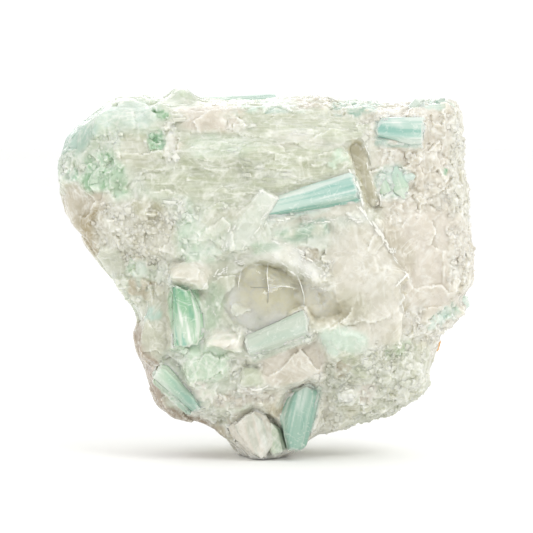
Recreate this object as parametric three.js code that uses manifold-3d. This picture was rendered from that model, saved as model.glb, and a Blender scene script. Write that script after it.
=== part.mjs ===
// Tourmaline specimen: milky and clear quartz with tourmaline prisms, all grown together into one piece.
// Millimetres, +Z up. The front, where the long prism lies, faces -Y. The specimen stands on a small
// flat spot, and the origin is in that plane, under the middle of the bounding box.
import * as THREE from "three";
import { ConvexGeometry } from "three/addons/geometries/ConvexGeometry.js";
import { mergeVertices } from "three/addons/utils/BufferGeometryUtils.js";
import Module from "manifold-3d";

const wasm = await Module();
wasm.setup();

const WIDTH = 84;
const DEPTH = 50;
const HEIGHT = 74;

// The outline seen from the front, as x and z, clockwise from the left tip.
const OUTLINE = [
  [-41.8, 56], [-41.2, 59.6], [-40, 63.6], [-37.2, 66.6], [-33.8, 69.3], [-31, 71.5], [-28.6, 72.2],
  [-24, 71.9], [-20, 71.8], [-16.8, 71.6], [-12, 71.4], [-6, 71.4], [-0.8, 71.3], [3, 71.8], [10, 72.2],
  [15.8, 71.3], [20, 71.4], [24, 70.4], [29.2, 70.8], [33, 71.6], [37.4, 71.4], [39.4, 68.4],
  [39.5, 63.4], [39.6, 58.6], [40, 52.6], [40.6, 48.4], [41, 43.6], [41.8, 39.2], [41.5, 35],
  [39.8, 32.2], [37.6, 29], [35.4, 26], [34.6, 22], [33.2, 18], [32.6, 14], [30.8, 12], [27.8, 10.2],
  [24, 7.8], [19.2, 6.8], [14.6, 5.6], [10, 4.8], [6.6, 2.6], [3, -1.5], [-1, -2], [-4.6, -1], [-7.4, 3.2],
  [-11.4, 6], [-15.4, 7.4], [-19, 8], [-21.8, 10.2], [-22.8, 13.2], [-24.2, 16], [-24.8, 19], [-26.4, 21.8],
  [-26.4, 25], [-25.2, 27.4], [-27, 30.6], [-29.7, 34.2], [-32, 37.4], [-35, 41.4], [-37, 44.2],
  [-39.2, 46.4], [-40.4, 49.4], [-41.2, 52.8],
];
const MIDDLE = [1, 42];

// Rings of the core from front to back: how far each reaches towards the outline, and its depth.
const RINGS = [
  { reach: 0.42, y: -15 },
  { reach: 0.72, y: -14 },
  { reach: 0.9, y: -9.5 },
  { reach: 0.985, y: -2 },
  { reach: 0.93, y: 7 },
  { reach: 0.76, y: 13 },
  { reach: 0.46, y: 17.5 },
];
const GIRDLE = 3;
const FRONT_POLE = -15.4;
const BACK_POLE = 18.5;

// The girdle of the core wanders in depth on two waves, with these heights and turns per outline point.
const GIRDLE_WAVES = [
  { height: 2.1, turn: 0.45 },
  { height: 1.5, turn: 1.3 },
];
const CORE_UNEVEN = 0.06;
const FRONT_WANDER = 0.3;

// Everything but the foot stays inside an envelope, the outline swept from front to back. It narrows
// towards the back, so that what is behind doesn't show round the front, and its sides are broken faces.
const ENVELOPE = [
  { reach: 0.96, y: -30, uneven: 0 },
  { reach: 1.0, y: -11, uneven: 0.05 },
  { reach: 1.012, y: -3, uneven: 0 },
  { reach: 1.0, y: 5, uneven: 0.12 },
  { reach: 0.96, y: 14, uneven: 0.12 },
  { reach: 0.86, y: 30, uneven: 0 },
];
const ENVELOPE_FACE = 3;
const ENVELOPE_WANDER = 30;

// Quartz blocks that show on the front, with mostly flat faces. At is x, the front face's y, and z.
const BLOCKS = [
  { name: "upper left slab", at: [-26.5, -15, 67.4], size: [14.5, 10, 5], turn: [12, 0, -4] },
  { name: "upper left rim", at: [-36, -9.5, 62.6], size: [12, 12, 6], turn: [8, -44, 10] },
  { name: "left rim block", at: [-37.6, -7, 56.6], size: [7, 10, 7], turn: [0, 20, 14] },
  { name: "left green block", at: [-33, -12, 57.4], size: [6.5, 8, 7.5], turn: [6, 28, 8] },
  { name: "left inner block", at: [-25.5, -16, 60.6], size: [9, 9, 7.5], turn: [-6, -22, 6] },
  { name: "left lower green block", at: [-26.4, -14.5, 54.2], size: [8, 8, 6], turn: [8, 38, 4] },
  { name: "top left lump", at: [-19.5, -15.5, 66.8], size: [7.5, 9, 8], turn: [8, 20, -8] },
  { name: "top rose slab", at: [-10.5, -18, 67.2], size: [15, 10, 7.6], turn: [14, 2, -3] },
  { name: "top green slab", at: [2.4, -16.5, 69.6], size: [18, 10, 3.8], turn: [18, 1, 2] },
  { name: "top grey rail", at: [7.6, -19.4, 65.6], size: [23, 9, 4.6], turn: [8, 1, 2] },
  { name: "top rough lump", at: [11.5, -13, 70], size: [8.4, 8, 4.4], turn: [14, 0, 5] },
  { name: "top wedge", at: [19.8, -15.6, 69.4], size: [9.4, 8, 5], turn: [10, -10, 4] },
  { name: "upper green rail", at: [-8.6, -20.2, 61.6], size: [19, 9, 5.4], turn: [6, -4, -2] },
  { name: "upper middle slab", at: [6.6, -21.5, 57.6], size: [23, 10, 10.5], turn: [7, 5, 3] },
  { name: "upper left long slab", at: [-13, -19.6, 54], size: [22, 9, 8], turn: [-5, -6, -5] },
  { name: "pale green facet", at: [14.6, -21.4, 59.2], size: [5.2, 7, 5.6], turn: [0, 14, 10] },
  { name: "middle left slab", at: [-9.4, -20.4, 48.6], size: [16, 9, 6.4], turn: [4, -18, -4] },
  { name: "upper right block", at: [33, -12.6, 65.4], size: [13, 12, 11], turn: [6, 8, 12] },
  { name: "right shelf", at: [25.6, -17, 60.6], size: [12, 10, 6], turn: [4, 6, 6] },
  { name: "right lump above", at: [33.6, -14.5, 54.6], size: [13.6, 12, 11.6], turn: [0, 12, 14] },
  { name: "right inner lump", at: [25, -17.6, 48.4], size: [12, 11, 9], turn: [6, -14, 6] },
  { name: "right bright shard", at: [19.6, -21, 44.6], size: [9.6, 9, 11], turn: [4, -28, 10] },
  { name: "right corner shard", at: [22.4, -21.4, 36.6], size: [9.6, 9, 10], turn: [6, 32, 12] },
  { name: "lens right edge", at: [22.2, -20.6, 28.6], size: [8.6, 9, 11], turn: [4, 10, 12] },
  { name: "cream ledge", at: [-8, -23.4, 24], size: [8, 7, 3.6], turn: [0, 3, -4] },
  { name: "rose chunk", at: [-15.2, -23.4, 37], size: [7.6, 8, 4.4], turn: [0, 10, 4] },
  { name: "pale upright", at: [-21.4, -17.2, 26.4], size: [6, 9, 14.4], turn: [0, 10, -10] },
  { name: "mint block", at: [-12, -21.2, 18.7], size: [8.6, 9, 6.4], turn: [-8, -14, 8] },
  { name: "under mint flake", at: [-13.2, -19.2, 13.4], size: [7.4, 8, 4.4], turn: [-10, 24, 4] },
  { name: "lens lower facet", at: [10.6, -23.2, 27.2], size: [6, 7, 3.4], turn: [-6, 8, 0] },
  { name: "small green block", at: [15.4, -22.2, 23.4], size: [9, 8, 5.2], turn: [-6, -7, 8] },
  { name: "rose field", at: [5, -20.4, 18.4], size: [12.6, 9, 7.4], turn: [-14, -12, 4] },
  { name: "small green disc", at: [-2.8, -21.2, 16.3], size: [4.6, 6, 4.6], turn: [-8, 16, 6] },
  { name: "low rose chunk", at: [-6.4, -17.2, 11], size: [9, 8, 4.6], turn: [-12, 8, 6] },
  { name: "lower left foot", at: [-18.4, -12, 10.6], size: [10.4, 12, 6.4], turn: [-4, 16, -12] },
  { name: "striped block", at: [17.4, -19, 18.4], size: [6, 8, 3.6], turn: [-6, 28, 14] },
  { name: "white cap", at: [15.8, -18.4, 12.9], size: [3.6, 6, 2.8], turn: [0, -6, 8] },
  { name: "left tan slab", at: [-36.2, -7.5, 47.8], size: [9.6, 12, 12.6], turn: [4, -26, 20] },
  { name: "left pale block", at: [-29.4, -12, 49.4], size: [8, 8, 5], turn: [4, -8, 10] },
  { name: "left low block", at: [-31, -9.4, 40], size: [8, 10, 6.6], turn: [4, 34, 18] },
  { name: "left rough block", at: [-24.6, -14, 44.6], size: [9, 8, 7], turn: [4, 14, -4] },
  { name: "left small cube", at: [-24.6, -15.6, 38], size: [3.6, 6, 3.6], turn: [8, 40, 10] },
  { name: "left tan shelf", at: [-24.6, -12.6, 33.6], size: [12, 10, 7], turn: [-8, 16, 12] },
];

// The bump that stands out of the upper edge, above the envelope.
const TOP_BUMP = { name: "top left bump", at: [-16.8, -9, 71], size: [5.6, 6, 6], turn: [6, 45, 12] };

// Rounded quartz lumps, cut by small flat faces. At is the centre of the lump.
const LUMPS = [
  { name: "clear lens", at: [-0.4, -16, 31.4], size: [25, 18, 19], turn: [0, 8, 0], points: 34 },
  { name: "clear lens shoulder", at: [14.6, -13.4, 36], size: [26, 20, 26], turn: [0, -14, 4], points: 28 },
  { name: "lens roof", at: [3, -14.5, 42], size: [22, 14, 9], turn: [0, -12, 0] },
  { name: "right rose lump", at: [32.8, -6.6, 39], size: [20, 23, 23], turn: [0, 10, 8] },
  { name: "right rose shoulder", at: [27, -10, 42], size: [15, 17, 16], turn: [0, 0, 0] },
  { name: "right lower lump", at: [30, -7, 28.6], size: [14, 18, 12], turn: [0, -24, 6] },
  { name: "lower right lump", at: [24.8, -8.4, 19], size: [15, 18, 13], turn: [0, -12, 0] },
  { name: "low right lump", at: [16, -7.8, 12.6], size: [17, 18, 12], turn: [0, -8, 0] },
  { name: "low middle lump", at: [3, -8, 15], size: [20, 19, 14], turn: [0, 0, 0] },
  { name: "low left lump", at: [-14, -7.6, 18], size: [19, 19, 18], turn: [0, 10, 0] },
  { name: "left middle lump", at: [-18, -8, 40], size: [22, 18, 20], turn: [0, 10, 0] },
  { name: "behind the left edge", at: [-24, 2, 22], size: [8, 14, 12], turn: [0, 8, 0] },
];

// Tourmaline prisms and pointed crystals, given by the middles of their two ends. Tip is the height of
// the pyramid on the second end, in radii.
const PRISMS = [
  { name: "long prism", from: [-1.8, -19.6, 49.5], to: [18, -20, 54.2], radius: 2.4, taper: 1.2, roll: 20 },
  { name: "long prism root", from: [-13.8, -19.2, 44.4], to: [-0.8, -19.6, 50.2], radius: 2.4, roll: 50 },
  { name: "low root prism", from: [-15.4, -18.8, 39.8], to: [-4, -19.6, 43.6], radius: 1.9, roll: 10 },
  { name: "under prism", from: [-2.6, -20.4, 43], to: [11.8, -20.2, 47.1], radius: 1.6, roll: 5 },
  { name: "blue stub", from: [21.8, -17.6, 65.3], to: [31, -17.8, 65.1], radius: 2.8, roll: 40 },
  { name: "green upright", from: [-15.2, -18.4, 23], to: [-16.9, -19.6, 35.2], radius: 3.4, taper: 0.55 },
  { name: "pale mint prism", from: [-3.4, -20.4, 22.8], to: [7.8, -21.4, 27.2], radius: 3, roll: 60 },
  { name: "lower left prism", from: [-21.6, -15.6, 17.6], to: [-13.8, -17.2, 10.6], radius: 2.5, tip: 0.4 },
  { name: "teal prism", from: [7.8, -13.6, 14.8], to: [5.6, -14, 3.4], radius: 3.4, tip: 0.3, roll: 15 },
  { name: "pointed foot crystal", from: [-3.9, -13.2, 10.4], to: [-1.2, -12.4, 2.3], radius: 4.3, tip: 0.7 },
  { name: "olive foot crystal", from: [1.6, -10.6, 10], to: [2.8, -11.2, 2], radius: 2.7, tip: 0.4 },
  { name: "green splinter one", from: [22.6, -15, 58.4], to: [24, -17, 52.6], radius: 1.3, tip: 1 },
  { name: "green splinter two", from: [25.2, -15, 58.2], to: [27, -17.4, 53], radius: 1.6, tip: 1 },
  { name: "green splinter three", from: [23, -14, 54.6], to: [28.6, -16.6, 56.4], radius: 1.3, tip: 1 },
  { name: "right edge prism", from: [32.6, -7.6, 26.6], to: [40.2, -4.6, 31.6], radius: 1.6, tip: 0.6 },
  { name: "top right prism one", from: [27.4, -9, 67], to: [31, -9.6, 71.4], radius: 1.5, tip: 0.6 },
  { name: "top right prism two", from: [33, -7.4, 67.6], to: [35.4, -7.6, 71.2], radius: 1.5, tip: 0.7 },
  { name: "top rear prism", from: [-22, 4, 69], to: [2, 7, 69.8], radius: 2.8, roll: 30 },
  { name: "back long prism", from: [-20, 19, 58], to: [12, 20.4, 46], radius: 3, roll: 12 },
  { name: "back upright prism", from: [20, 17, 22], to: [17, 19.4, 40], radius: 2.7, tip: 0.6 },
  { name: "back low prism", from: [-16, 13.6, 24], to: [-6, 18.6, 12], radius: 2.8, tip: 0.4 },
  { name: "back thin prism", from: [4, 19.6, 64], to: [22, 16.6, 61], radius: 1.9, tip: 0.6 },
  { name: "right side prism", from: [36, 7, 62], to: [38.6, 1, 47], radius: 2.2, tip: 0.5 },
  { name: "left side prism", from: [-36, 8, 62], to: [-32.6, 7, 42], radius: 2.4, tip: 0.5 },
];

// Gaps left where a crystal has broken out, cut as blocks with their open side to the front or back.
const CAVITIES = [
  { name: "crevice", at: [19.3, -25, 57], size: [2.7, 11, 13.6], turn: [0, -17, 0] },
  { name: "crevice foot", at: [20.9, -25, 50.8], size: [2.4, 9, 5], turn: [0, -34, 0] },
  { name: "right notch", at: [27.2, -25, 34.4], size: [1.8, 9.4, 3.2], turn: [0, 24, 0] },
  { name: "back socket", at: [-2, 16.6, 32], size: [16, 9, 3.4], turn: [0, 28, 0] },
];

// The foot: x and y of the flat spot, and how far the foot widens above it.
const FOOT = [[-3, -12], [2.2, -12.4], [5, 1], [5.2, 12], [1.2, 14.4], [-4, 13], [-4.4, 1]];
const FOOT_HEIGHT = 8;
const FOOT_SPREAD = 1.2;

// The front and the back are tiled by broken faces, placed in rows, whose depth falls off outwards.
const FRONT_TILES = { step: 10.4, row: 6.8, middle: -19.6, fall: 11.6, uneven: 2.4, inner: -2, seed: 0 };
const BACK_TILES = { step: 15, row: 10.5, middle: 22.6, fall: -13, uneven: 3.4, inner: 2, seed: 500 };
const TILE_JITTER = 0.42;
const TILE_TILT = 0.34;
const TILE_OVERLAP = 1.05;
const TILE_REACH = 1.1;

// Rubble round the sides of the core, behind the girdle, and beads down the right edge.
const RUBBLE_RINGS = [4, 5];
const RUBBLE_EVERY = 9;
const RUBBLE_SIZE = [15, 9, 12];
const RUBBLE_SCALE = { least: 0.75, spread: 0.6 };
const RUBBLE_TURN = 70;
const RUBBLE_INWARD = 2.6;
const RUBBLE_FORWARD = 1.6;
const RUBBLE_LOWEST = 12;
const EDGE_FIRST = 20;
const EDGE_LAST = 36;
const BEAD_SIZE = 4;
const BEAD_POINTS = 9;
const BEAD_SCALE = { least: 0.8, spread: 0.5 };
const BEAD_INWARD = 0.9;
const BEAD_DEPTHS = { first: -3, last: 2 };

// A block's corners are pulled in, and the ridge on its front has its two ends along it.
const SHARD_UNEVEN = 0.3;
const RIDGE_ALONG = { least: 0.35, spread: 0.4 };
const RIDGE_RISE = 0.4;
const BLOCK_GROWTH = 1.12;
const LUMP_POINTS = 16;
const LUMP_REACH = { least: 0.86, spread: 0.14 };
const SECTION_OFFSETS = [-21, 21];
const TIP_ASIDE = [0.15, -0.1];
const GOLDEN_ANGLE = Math.PI * (3 - Math.sqrt(5));
const MERGE = 1e-3;

// Where each kind of piece starts to draw its repeatable numbers.
const SEEDS = { topBump: 50, envelopeReach: 60, envelopeDepth: 70, rubble: 100, beads: 700, cavities: 900 };

// A repeatable number from 0 to 1: the k-th draw of the piece with this seed.
function chance(seed, k) {
  const s = Math.sin(seed * 12.9898 + k * 78.233) * 43758.5453;
  return s - Math.floor(s);
}

function between({ least, spread }, seed, k) {
  return least + spread * chance(seed, k);
}

function solid(geometry) {
  const plain = geometry.index ? geometry.toNonIndexed() : geometry;
  const bare = new THREE.BufferGeometry().setAttribute("position", plain.getAttribute("position"));
  const merged = mergeVertices(bare, MERGE);
  return new wasm.Manifold(
    new wasm.Mesh({
      numProp: 3,
      vertProperties: merged.attributes.position.array,
      triVerts: new Uint32Array(merged.index.array),
    }),
  );
}

function geometryOf(manifold) {
  const mesh = manifold.getMesh();
  const geometry = new THREE.BufferGeometry();
  geometry.setAttribute("position", new THREE.BufferAttribute(mesh.vertProperties, 3));
  geometry.setIndex(new THREE.BufferAttribute(mesh.triVerts, 1));
  geometry.computeVertexNormals();
  return geometry;
}

function hull(points, turn, centre) {
  const angles = turn.map(THREE.MathUtils.degToRad);
  const rotation = new THREE.Euler(angles[0], angles[1], angles[2]);
  const place = new THREE.Vector3(...centre);
  const placed = points.map((p) => new THREE.Vector3(...p).applyEuler(rotation).add(place));
  return solid(new ConvexGeometry(placed));
}

// A broken block: a box whose corners are pulled in by uneven amounts, with a low ridge on its front.
function shardPoints(size, seed, uneven = SHARD_UNEVEN) {
  const half = size.map((s) => s / 2);
  const points = [];
  let draw = 0;
  const pulledIn = (sign, axis) => sign * half[axis] * (1 - uneven * chance(seed, draw++));
  for (const sx of [-1, 1])
    for (const sy of [-1, 1])
      for (const sz of [-1, 1]) points.push([sx, sy, sz].map(pulledIn));
  for (const side of [-1, 1]) {
    const along = side * half[0] * between(RIDGE_ALONG, seed, draw++);
    const up = size[2] * uneven * (chance(seed, draw++) - 0.5);
    points.push([along, -half[1] * (1 + uneven * RIDGE_RISE), up]);
  }
  return points;
}

// Points spread evenly over an ellipsoid, pulled in by uneven amounts so that the hull has flat faces.
function lumpPoints(size, seed, count = LUMP_POINTS) {
  return Array.from({ length: count }, (_, i) => {
    const up = 1 - (2 * (i + 0.5)) / count;
    const around = i * GOLDEN_ANGLE + seed;
    const ring = Math.sqrt(1 - up * up);
    const reach = between(LUMP_REACH, seed, i);
    const direction = [ring * Math.cos(around), ring * Math.sin(around), up];
    return direction.map((d, axis) => (d * reach * size[axis]) / 2);
  });
}

function block({ at, size, turn, uneven }, seed) {
  const grown = [size[0] * BLOCK_GROWTH, size[1], size[2] * BLOCK_GROWTH];
  return hull(shardPoints(grown, seed, uneven), turn, [at[0], at[1] + size[1] / 2, at[2]]);
}

function lump({ at, size, turn, points }, seed) {
  return hull(lumpPoints(size, seed, points), turn, at);
}

// The section of a tourmaline prism is a triangle with bulging sides, here three wide and three narrow.
function prismSection(radius, roll) {
  const points = [];
  for (const corner of [0, 120, 240])
    for (const offset of SECTION_OFFSETS) {
      const angle = THREE.MathUtils.degToRad(corner + offset + roll);
      points.push([radius * Math.cos(angle), radius * Math.sin(angle)]);
    }
  return points;
}

function prism({ from, to, radius, taper = 1, tip = 0, roll = 0 }) {
  const start = new THREE.Vector3(...from);
  const axis = new THREE.Vector3(...to).sub(start);
  const length = axis.length();
  const turn = new THREE.Quaternion().setFromUnitVectors(new THREE.Vector3(0, 0, 1), axis.normalize());
  const section = prismSection(radius, roll);
  const points = section.map(([x, y]) => [x, y, 0]);
  const halfTip = (tip * radius) / 2;
  const shoulder = length - halfTip;
  points.push(...section.map(([x, y]) => [x * taper, y * taper, shoulder]));
  if (tip > 0) points.push([radius * TIP_ASIDE[0], radius * TIP_ASIDE[1], length + halfTip]);
  const placed = points.map((p) => new THREE.Vector3(...p).applyQuaternion(turn).add(start));
  return solid(new ConvexGeometry(placed));
}

// One point of the core. The girdle keeps the outline, and wanders in depth.
function corePoint(ring, i) {
  const { reach, y } = RINGS[ring];
  const [x, z] = OUTLINE[i];
  const uneven = ring === GIRDLE ? 0 : CORE_UNEVEN * (chance(ring + 1, i) - 0.5);
  const [slow, quick] = GIRDLE_WAVES;
  const wander = slow.height * Math.sin(i * slow.turn) + quick.height * Math.sin(i * quick.turn + ring);
  const depth = y + (ring === 0 ? FRONT_WANDER : 1) * wander;
  return scaledOutline(x, z, reach + uneven, depth);
}

function scaledOutline(x, z, share, y) {
  return [MIDDLE[0] + (x - MIDDLE[0]) * share, y, MIDDLE[1] + (z - MIDDLE[1]) * share];
}

// A closed loft through rings of points, front to back, with a point at the front and one at the back.
function loft(rings, frontPole, backPole) {
  const count = rings[0].length;
  const positions = rings.flat(2);
  positions.push(MIDDLE[0], frontPole, MIDDLE[1], MIDDLE[0], backPole, MIDDLE[1]);
  const front = rings.length * count;
  const back = front + 1;
  const last = (rings.length - 1) * count;
  const faces = [];
  for (let i = 0; i < count; i++) {
    const next = (i + 1) % count;
    faces.push(front, next, i);
    faces.push(back, last + i, last + next);
    for (let ring = 0; ring < rings.length - 1; ring++) {
      const a = ring * count;
      const b = a + count;
      faces.push(a + i, b + next, b + i, a + i, a + next, b + next);
    }
  }
  const geometry = new THREE.BufferGeometry();
  geometry.setAttribute("position", new THREE.Float32BufferAttribute(positions, 3));
  geometry.setIndex(faces);
  return solid(geometry);
}

function core() {
  const rings = RINGS.map((_, ring) => OUTLINE.map((_, i) => corePoint(ring, i)));
  return loft(rings, FRONT_POLE, BACK_POLE);
}

// Each broken face of the envelope spans a few outline points, which are pulled in alike.
function envelopePoint({ reach, y, uneven }, ring, i) {
  const face = Math.floor(i / ENVELOPE_FACE);
  const share = reach - uneven * chance(face, SEEDS.envelopeReach + ring);
  const depth = y + uneven * ENVELOPE_WANDER * (chance(i, SEEDS.envelopeDepth + ring) - 0.5);
  return scaledOutline(OUTLINE[i][0], OUTLINE[i][1], share, depth);
}

function envelope() {
  const rings = ENVELOPE.map((entry, ring) => OUTLINE.map((_, i) => envelopePoint(entry, ring, i)));
  return loft(rings, ENVELOPE[0].y, ENVELOPE[ENVELOPE.length - 1].y);
}

function foot() {
  const points = FOOT.flatMap(([x, y]) => [
    [x, y, -1],
    [x * FOOT_SPREAD, y * FOOT_SPREAD, FOOT_HEIGHT],
  ]);
  return hull(points, [0, 0, 0], [0, 0, 0]);
}

function rubble() {
  const made = [];
  for (const ring of RUBBLE_RINGS)
    for (let i = ring; i < OUTLINE.length; i += RUBBLE_EVERY) {
      const seed = SEEDS.rubble * ring + i;
      const centre = corePoint(ring, i);
      if (centre[2] < RUBBLE_LOWEST) continue;
      const inward = [MIDDLE[0] - centre[0], 0, MIDDLE[1] - centre[2]];
      const length = Math.hypot(...inward);
      const place = centre.map((c, axis) => c + (inward[axis] / length) * RUBBLE_INWARD);
      place[1] -= RUBBLE_FORWARD;
      const grown = RUBBLE_SIZE.map((s, axis) => s * between(RUBBLE_SCALE, seed, axis));
      const turn = [0, 1, 2].map((axis) => RUBBLE_TURN * (chance(seed, axis + 5) - 0.5));
      made.push(hull(shardPoints(grown, seed), turn, place));
    }
  return made;
}

// How far a point is on the way from the middle to the outline, as a share.
function outwardness(x, z) {
  const dx = x - MIDDLE[0];
  const dz = z - MIDDLE[1];
  for (let i = 0; i < OUTLINE.length; i++) {
    const [ax, az] = OUTLINE[i];
    const [bx, bz] = OUTLINE[(i + 1) % OUTLINE.length];
    const cross = dx * (bz - az) - dz * (bx - ax);
    const along = ((ax - MIDDLE[0]) * (bz - az) - (az - MIDDLE[1]) * (bx - ax)) / cross;
    const beside = ((ax - MIDDLE[0]) * dz - (az - MIDDLE[1]) * dx) / cross;
    if (along > 0 && beside >= 0 && beside <= 1) return 1 / along;
  }
  return 0;
}

function tileDepth({ middle, fall }, x, z) {
  return middle + fall * outwardness(x, z) ** 3;
}

// The part of a polygon that is nearer to one site than to another.
function nearerPart(polygon, [sx, sz], [ox, oz]) {
  const side = ([x, z]) => (x - (sx + ox) / 2) * (ox - sx) + (z - (sz + oz) / 2) * (oz - sz);
  const kept = [];
  polygon.forEach((point, i) => {
    const next = polygon[(i + 1) % polygon.length];
    const here = side(point);
    const there = side(next);
    if (here <= 0) kept.push(point);
    if (here * there < 0) kept.push(point.map((c, axis) => c + ((next[axis] - c) * here) / (here - there)));
  });
  return kept;
}

function tileSites({ step, row, seed }) {
  const sites = [];
  for (let j = 0; j * row < HEIGHT; j++)
    for (let i = 0; i * step < WIDTH; i++) {
      const draw = seed + j * 20 + i;
      const x = -WIDTH / 2 + step * (i + 0.5 * (j % 2) + TILE_JITTER * (chance(draw, 1) * 2 - 1));
      const z = row * (j + 0.5 + TILE_JITTER * (chance(draw, 2) * 2 - 1));
      if (outwardness(x, z) < TILE_REACH) sites.push([x, z]);
    }
  return sites;
}

// One tile: the cell round its site, with a tilted face outside, going into the core.
function tile(kind, site, index, sites) {
  const [sx, sz] = site;
  const seed = kind.seed + index;
  const corners = [[-1, -1], [1, -1], [1, 1], [-1, 1]];
  let cell = corners.map(([x, z]) => [sx + x * kind.step, sz + z * kind.step]);
  for (const other of sites) if (other !== site) cell = nearerPart(cell, site, other);
  const middle = tileDepth(kind, sx, sz);
  const depth = middle + kind.uneven * (chance(seed, 3) - 0.5);
  const tiltX = tileDepth(kind, sx + 1, sz) - middle + TILE_TILT * (chance(seed, 4) * 2 - 1);
  const tiltZ = tileDepth(kind, sx, sz + 1) - middle + TILE_TILT * (chance(seed, 5) * 2 - 1);
  const points = cell.flatMap(([x, z]) => {
    const dx = (x - sx) * TILE_OVERLAP;
    const dz = (z - sz) * TILE_OVERLAP;
    const outer = depth + tiltX * dx + tiltZ * dz;
    return [[sx + dx, outer, sz + dz], [sx + dx, kind.inner, sz + dz]];
  });
  return hull(points, [0, 0, 0], [0, 0, 0]);
}

function tiles(kind) {
  return tileSites(kind).map((site, index, sites) => tile(kind, site, index, sites));
}

function edgeBeads() {
  const made = [];
  for (let i = EDGE_FIRST; i < EDGE_LAST; i++) {
    const seed = SEEDS.beads + i;
    const place = corePoint(GIRDLE, i);
    place[0] -= BEAD_INWARD;
    place[1] += BEAD_DEPTHS.first + (BEAD_DEPTHS.last - BEAD_DEPTHS.first) * chance(seed, 40);
    const size = [0, 1, 2].map((axis) => BEAD_SIZE * between(BEAD_SCALE, seed, axis + 30));
    made.push(hull(lumpPoints(size, seed, BEAD_POINTS), [0, 0, 0], place));
  }
  return made;
}

function boundingBlock() {
  const box = new THREE.BoxGeometry(WIDTH, DEPTH, HEIGHT);
  box.translate(0, 0, HEIGHT / 2);
  return solid(box);
}

// The union can seal small gaps inside. They can't be seen, so only the outer shell is kept, after its
// vertices are welded.
function outerShell(manifold) {
  const shells = solid(geometryOf(manifold)).decompose();
  return shells.reduce((best, shell) => (shell.volume() > best.volume() ? shell : best));
}

function specimen() {
  const grown = [
    ...BLOCKS.map(block),
    ...LUMPS.map((entry, i) => lump(entry, i + 1)),
    ...PRISMS.map(prism),
    ...rubble(),
    ...tiles(FRONT_TILES),
    ...tiles(BACK_TILES),
    ...edgeBeads(),
  ];
  let whole = grown.reduce((sum, piece) => sum.add(piece), core());
  whole = whole.intersect(envelope()).add(foot()).add(block(TOP_BUMP, SEEDS.topBump));
  CAVITIES.forEach((entry, i) => {
    whole = whole.subtract(block(entry, SEEDS.cavities + i));
  });
  return outerShell(whole.intersect(boundingBlock()));
}

const quartz = new THREE.MeshStandardMaterial({ color: 0xdcddd0, roughness: 0.45, metalness: 0 });
const body = new THREE.Mesh(geometryOf(specimen()), quartz);
body.name = "quartz_with_tourmaline";

const part = new THREE.Group();
part.add(body);

export default part;
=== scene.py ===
# Tourmaline specimen: milky and clear quartz with tourmaline prisms. Metres, +Z up, front towards -Y.
import math

import bmesh
import bpy
import numpy as np
from mathutils import Euler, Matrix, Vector
from mathutils.bvhtree import BVHTree


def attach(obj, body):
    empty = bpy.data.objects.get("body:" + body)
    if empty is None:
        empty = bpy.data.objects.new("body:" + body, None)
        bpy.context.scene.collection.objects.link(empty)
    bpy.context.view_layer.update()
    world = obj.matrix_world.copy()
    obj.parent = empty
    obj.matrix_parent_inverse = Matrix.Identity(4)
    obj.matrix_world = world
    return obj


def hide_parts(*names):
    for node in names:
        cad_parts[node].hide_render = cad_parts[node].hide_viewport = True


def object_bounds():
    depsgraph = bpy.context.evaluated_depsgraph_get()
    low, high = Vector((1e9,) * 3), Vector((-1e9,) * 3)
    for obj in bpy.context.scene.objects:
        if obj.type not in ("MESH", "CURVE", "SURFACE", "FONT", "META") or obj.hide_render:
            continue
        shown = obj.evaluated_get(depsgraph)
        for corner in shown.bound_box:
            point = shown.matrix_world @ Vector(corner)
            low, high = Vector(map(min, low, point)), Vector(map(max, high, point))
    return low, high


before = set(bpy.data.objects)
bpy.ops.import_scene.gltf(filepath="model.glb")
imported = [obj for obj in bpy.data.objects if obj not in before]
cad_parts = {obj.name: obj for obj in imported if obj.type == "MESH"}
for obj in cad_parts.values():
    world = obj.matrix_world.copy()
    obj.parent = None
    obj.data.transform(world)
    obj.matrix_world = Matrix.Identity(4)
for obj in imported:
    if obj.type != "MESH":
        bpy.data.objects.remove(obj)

CAD_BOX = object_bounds()
NODE = "quartz_with_tourmaline"
MM = 0.001

# The photo's frame: its size in pixels, the real size of a pixel, and the middle of the picture in mm.
FRAME_PIXELS = 533
PIXEL_MM = 0.2
VIEW_MIDDLE = (0.1, -8, 38.3)
ELEVATION = 3
FOCAL = 250
SENSOR = 36

# The body's mesh: its grain in mm, its most triangles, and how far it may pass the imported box, in mm.
VOXEL = 0.34
FILL_VOXEL = 0.6
FILL_ROUNDS = 70
MOST_FILL = 3.4
SOFTENING_ROUNDS = 4
ROUNDING_ROUNDS = 120
LUMP_SHARE = 0.2
CREVICE_FLOOR = -18
RIDGE_HEIGHT = 0.1
MOST_TRIANGLES = 190000
PROUD = 0.9


# How bright the studio light is on an open white surface. Colours are given as they look under it.
LIGHT_LEVEL = 1.19


def shade(red, green, blue):
    """A colour as it looks in the studio, 0 to 255, as the share of light that it gives back."""
    values = []
    for level in (red, green, blue):
        c = level / 255
        linear = c / 12.92 if c <= 0.04045 else ((c + 0.055) / 1.055) ** 2.4
        values.append(linear / LIGHT_LEVEL)
    return tuple(values)


def between(first, second, share):
    return tuple(a + (b - a) * share for a, b in zip(first, second))


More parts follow.
